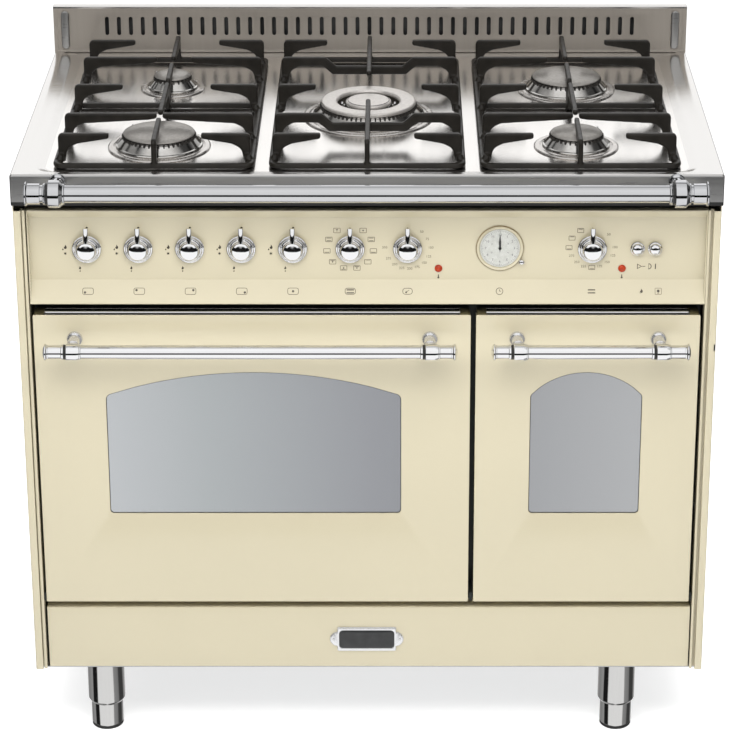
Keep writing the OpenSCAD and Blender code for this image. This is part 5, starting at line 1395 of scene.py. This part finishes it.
# ------------------------------------------------------------------ cabinet
def sides():
    for s, node, xg0, xg1, xi in ((-1, "side_panel_left", 486.4, 487.6, 482.0), (1, "side_panel_right", 484.0, 488.0, 480.4)):
        X = 498.4
        z0, z1 = BASE + 1.6, PT
        # one bent sheet in plan: outer skin, front edge, groove, inner strip
        t = 1.2
        plan = [(X, BACK - 0.2), (X, SIDE), (xg1, SIDE), (xg1, SIDE + 10), (xg0, SIDE + 10), (xg0, SIDE + 3), (xi, SIDE + 3), (xi, SIDE + 34), (xi + t, SIDE + 34), (xi + t, SIDE + 3 + t),
                (xg0 - t * 0.6, SIDE + 3 + t), (xg0 - t * 0.6, SIDE + 10 + t), (xg1 + t, SIDE + 10 + t), (xg1 + t, SIDE + t), (X - t, SIDE + t), (X - t, BACK - 0.2)]
        rr = [0.2, 2.0, 0.9, 0, 0, 0.9, 0.9, 0.3, 0.3, 0.3, 0.3, 0.3, 0.3, 0.3, 1.0, 0.2]
        pts = fillet(plan, rr, 4)
        if s < 0:
            pts = [(-a, b) for a, b in pts]
        low = prism("fold", pts, "z", z0, z1, "enamel", 0, 2, 50)
        parts = [low]
        up = [(X - t, SIDE + 0.4), (X, SIDE + 0.4), (X, UP - 0.3), (X - t, UP - 0.3)]
        up = [(a * s, b) for a, b in up]
        parts.append(prism("up", up, "z", z1 - 0.2, TOP - 1.7, "enamel", 0.0))
        rear = [(s * (X - 16), BACK - 1.4), (s * (X - 0.6), BACK - 1.4), (s * (X - 0.6), BACK - 0.2), (s * (X - 16), BACK - 0.2)]
        parts.append(prism("rear", rear, "z", z0, TOP - 46.2, "enamel", 0.2))
        ob = join("side_casing_" + ("left" if s < 0 else "right"), parts, "enamel")
        if s > 0:
            c = rbox("c", X - 3, X + 1, SIDE - 1, SIDE + 3, 640, 651, "enamel", 0)
            mod = ob.modifiers.new("notch", "BOOLEAN")
            mod.operation = "DIFFERENCE"
            mod.solver = "EXACT"
            mod.use_self = True
            mod.object = c
            bake(ob)
            bpy.data.objects.remove(c)
            shade(ob, 40)
            ob["mat_key"] = "enamel"
            # painted shade: a black block in the notch stands in for the shade inside the gap
            notch_shade_block = rbox("side_notch_painted_shade", X - 2.6, X - 0.5, SIDE + 1.4, SIDE + 2.4, 641, 650, "black", 0.2)
            ride(notch_shade_block, "cabinet")
        ride(ob, "cabinet", node)


def lower():
    # plinth: face with rounded top fold
    z0, z1 = BASE + 1.7, DZ0 - 12
    prof = fillet([(SKIN + 5, z0), (SKIN + 5, z1), (FRAME - 0.2, z1), (FRAME - 0.2, z1 - 1.2), (SKIN + 6.2, z1 - 1.2), (SKIN + 6.2, z0 + 1.2), (SKIN + 32, z0 + 1.2), (SKIN + 32, z0)], [1.6, 2.0, 0.3, 0.3, 0.8, 0.5, 0.3, 0.3], 5)
    p = prism("plinth_pressing", prof, "x", -478.5, 478.5, "enamel", 0, 2, 50)
    ride(p, "cabinet", "plinth_panel")
    # blank plate: bright body with rounded ears, and a dark inset
    cx, cz, y = -3.0, (BASE + DZ0 - 12) / 2 - 2, SKIN + 5

    def outline(g):
        w, h, re = 44.0 - g, 20.0 - g, 12.0 - g
        half = []
        a0 = math.acos(min(1.0, 1.0 / re))
        for k in range(13):
            a = -a0 + 2 * a0 * k / 12
            half.append((43.0 + re * math.cos(a), re * math.sin(a)))
        pts = [(-w, -h), (w, -h)] + half + [(w, h), (-w, h)] + [(-p[0], p[1]) for p in reversed(half)]
        rad = [2.4, 2.4] + [1.0] + [0] * 11 + [1.0] + [2.4, 2.4] + [1.0] + [0] * 11 + [1.0]
        return [(cx + p[0], cz + p[1]) for p in fillet(pts, rad, 5)]
    base = plate("np", outline(0), [], y - 1.5, y - 0.02, "chrome_plate", 0.5, 3)
    rim = plate("np2", outline(1.0), [rrect(cx - 41, cx + 41, cz - 15, cz + 15, 6, 8)], y - 2.6, y - 0.8, "chrome_plate", 0.7, 3)
    ride(join("blank_plate", [base, rim], "chrome_plate"), "cabinet", "name_plate")
    field = plate("np3", rrect(cx - 41.2, cx + 41.2, cz - 15.2, cz + 15.2, 6, 8), [], y - 1.9, y - 1.2, "plate_dark", 0.15, 1)
    ride(join("blank_plate_field", [field], "plate_dark"), "cabinet")
    sc = []
    for s in (-1, 1):
        sc.append(lathe("s", [(0, 0), (2.6, 0), (2.6, 0.4), (2.0, 0.9), (0, 1.1)], (cx + s * 49.3, y - 1.8, cz), "front", "chrome_satin", 24, 0.2, 2))
    ride(join("plate_screws", sc, "chrome_satin"), "cabinet")
    # legs
    tubes, ins, soles = [], [], []
    for x, yy in FEET:
        o = (x, yy, 0)
        tubes.append(lathe("t", [(24.1, 43), (25.4, 43), (28, 47.6), (28, BASE - 4), (32.6, BASE - 2.8), (33, BASE - 2), (33, BASE), (24.1, BASE)], o, "z", "steel_leg", 96, rr=[0, 0.5, 1.0, 1.6, 0.6, 0.4, 0, 0], smooth=40))
        ins.append(lathe("i", [(0, 4.4), (22.8, 4.4), (24, 6.6), (24, 102.5), (0, 102.5)], o, "z", "steel_leg", 96, rr=[0, 0.8, 1.4, 0.5, 0], smooth=40))
        soles.append(lathe("s", [(0, 0.0), (22.0, 0.0), (23.6, 1.4), (23.6, 3.8), (22.6, 4.8), (0, 4.8)], o, "z", "rubber", 96, rr=[0, 0.8, 0.8, 0.6, 0.4, 0], smooth=40))
    ride(join("leg_sleeves", tubes, "steel_leg"), "cabinet", "leg_tubes")
    ride(join("leg_adjusters", ins, "steel_leg"), "cabinet", "foot_inserts")
    ride(join("leg_soles", soles, "rubber"), "cabinet")
    # self-tapping screws of the rear panel
    sc = []
    for x in (-480, -240, 0, 240, 480):
        for z in (140, 850):
            s = lathe("s", [(0, 0), (4.2, 0), (4.2, 0.7), (3.0, 2.2), (0, 2.8)], (0, 0, 0), "front", "zinc", 24, 0.3, 2)
            s.data.transform(Matrix.Translation((x * MM, (BACK + 1.5) * MM, z * MM)) @ Matrix.Rotation(math.pi, 4, "Z"))
            sc.append(s)
    ride(join("rear_screws", sc, "zinc"), "cabinet")


hob()
upstand()
supports()
burners()
tube_rail("hob_rail_tube", -451, 451, LIP - 50, TOP - 10, 12.5, [-432, 433], 19.42, 30, 14.2, 9, LIP, 17, 14.6, 24, "hob_rail", "cabinet", "chrome_rail", "chrome_rail")
tube_rail("main_door_bar", -451, 119, SKIN - HOFF, HZ, 10, [-419, 89], 12.5, 28, 10.7, 8, SKIN, 12.4, 10.4, 8.5, "main_door_handle", "main_door", "chrome_post")
tube_rail("small_door_bar", 184, 449.5, SKIN - HOFF, HZ, 10, [214, 416], 12.5, 28, 10.7, 8, SKIN, 12.4, 10.4, 8.5, "small_door_handle", "small_door", "chrome_post")
panel()
controls()
clock()
marks()
door("main", -478, 147.5, -378, 48, "main_door")
door("small", 155, 475.3, 234.5, 396, "small_door")
sides()
lower()
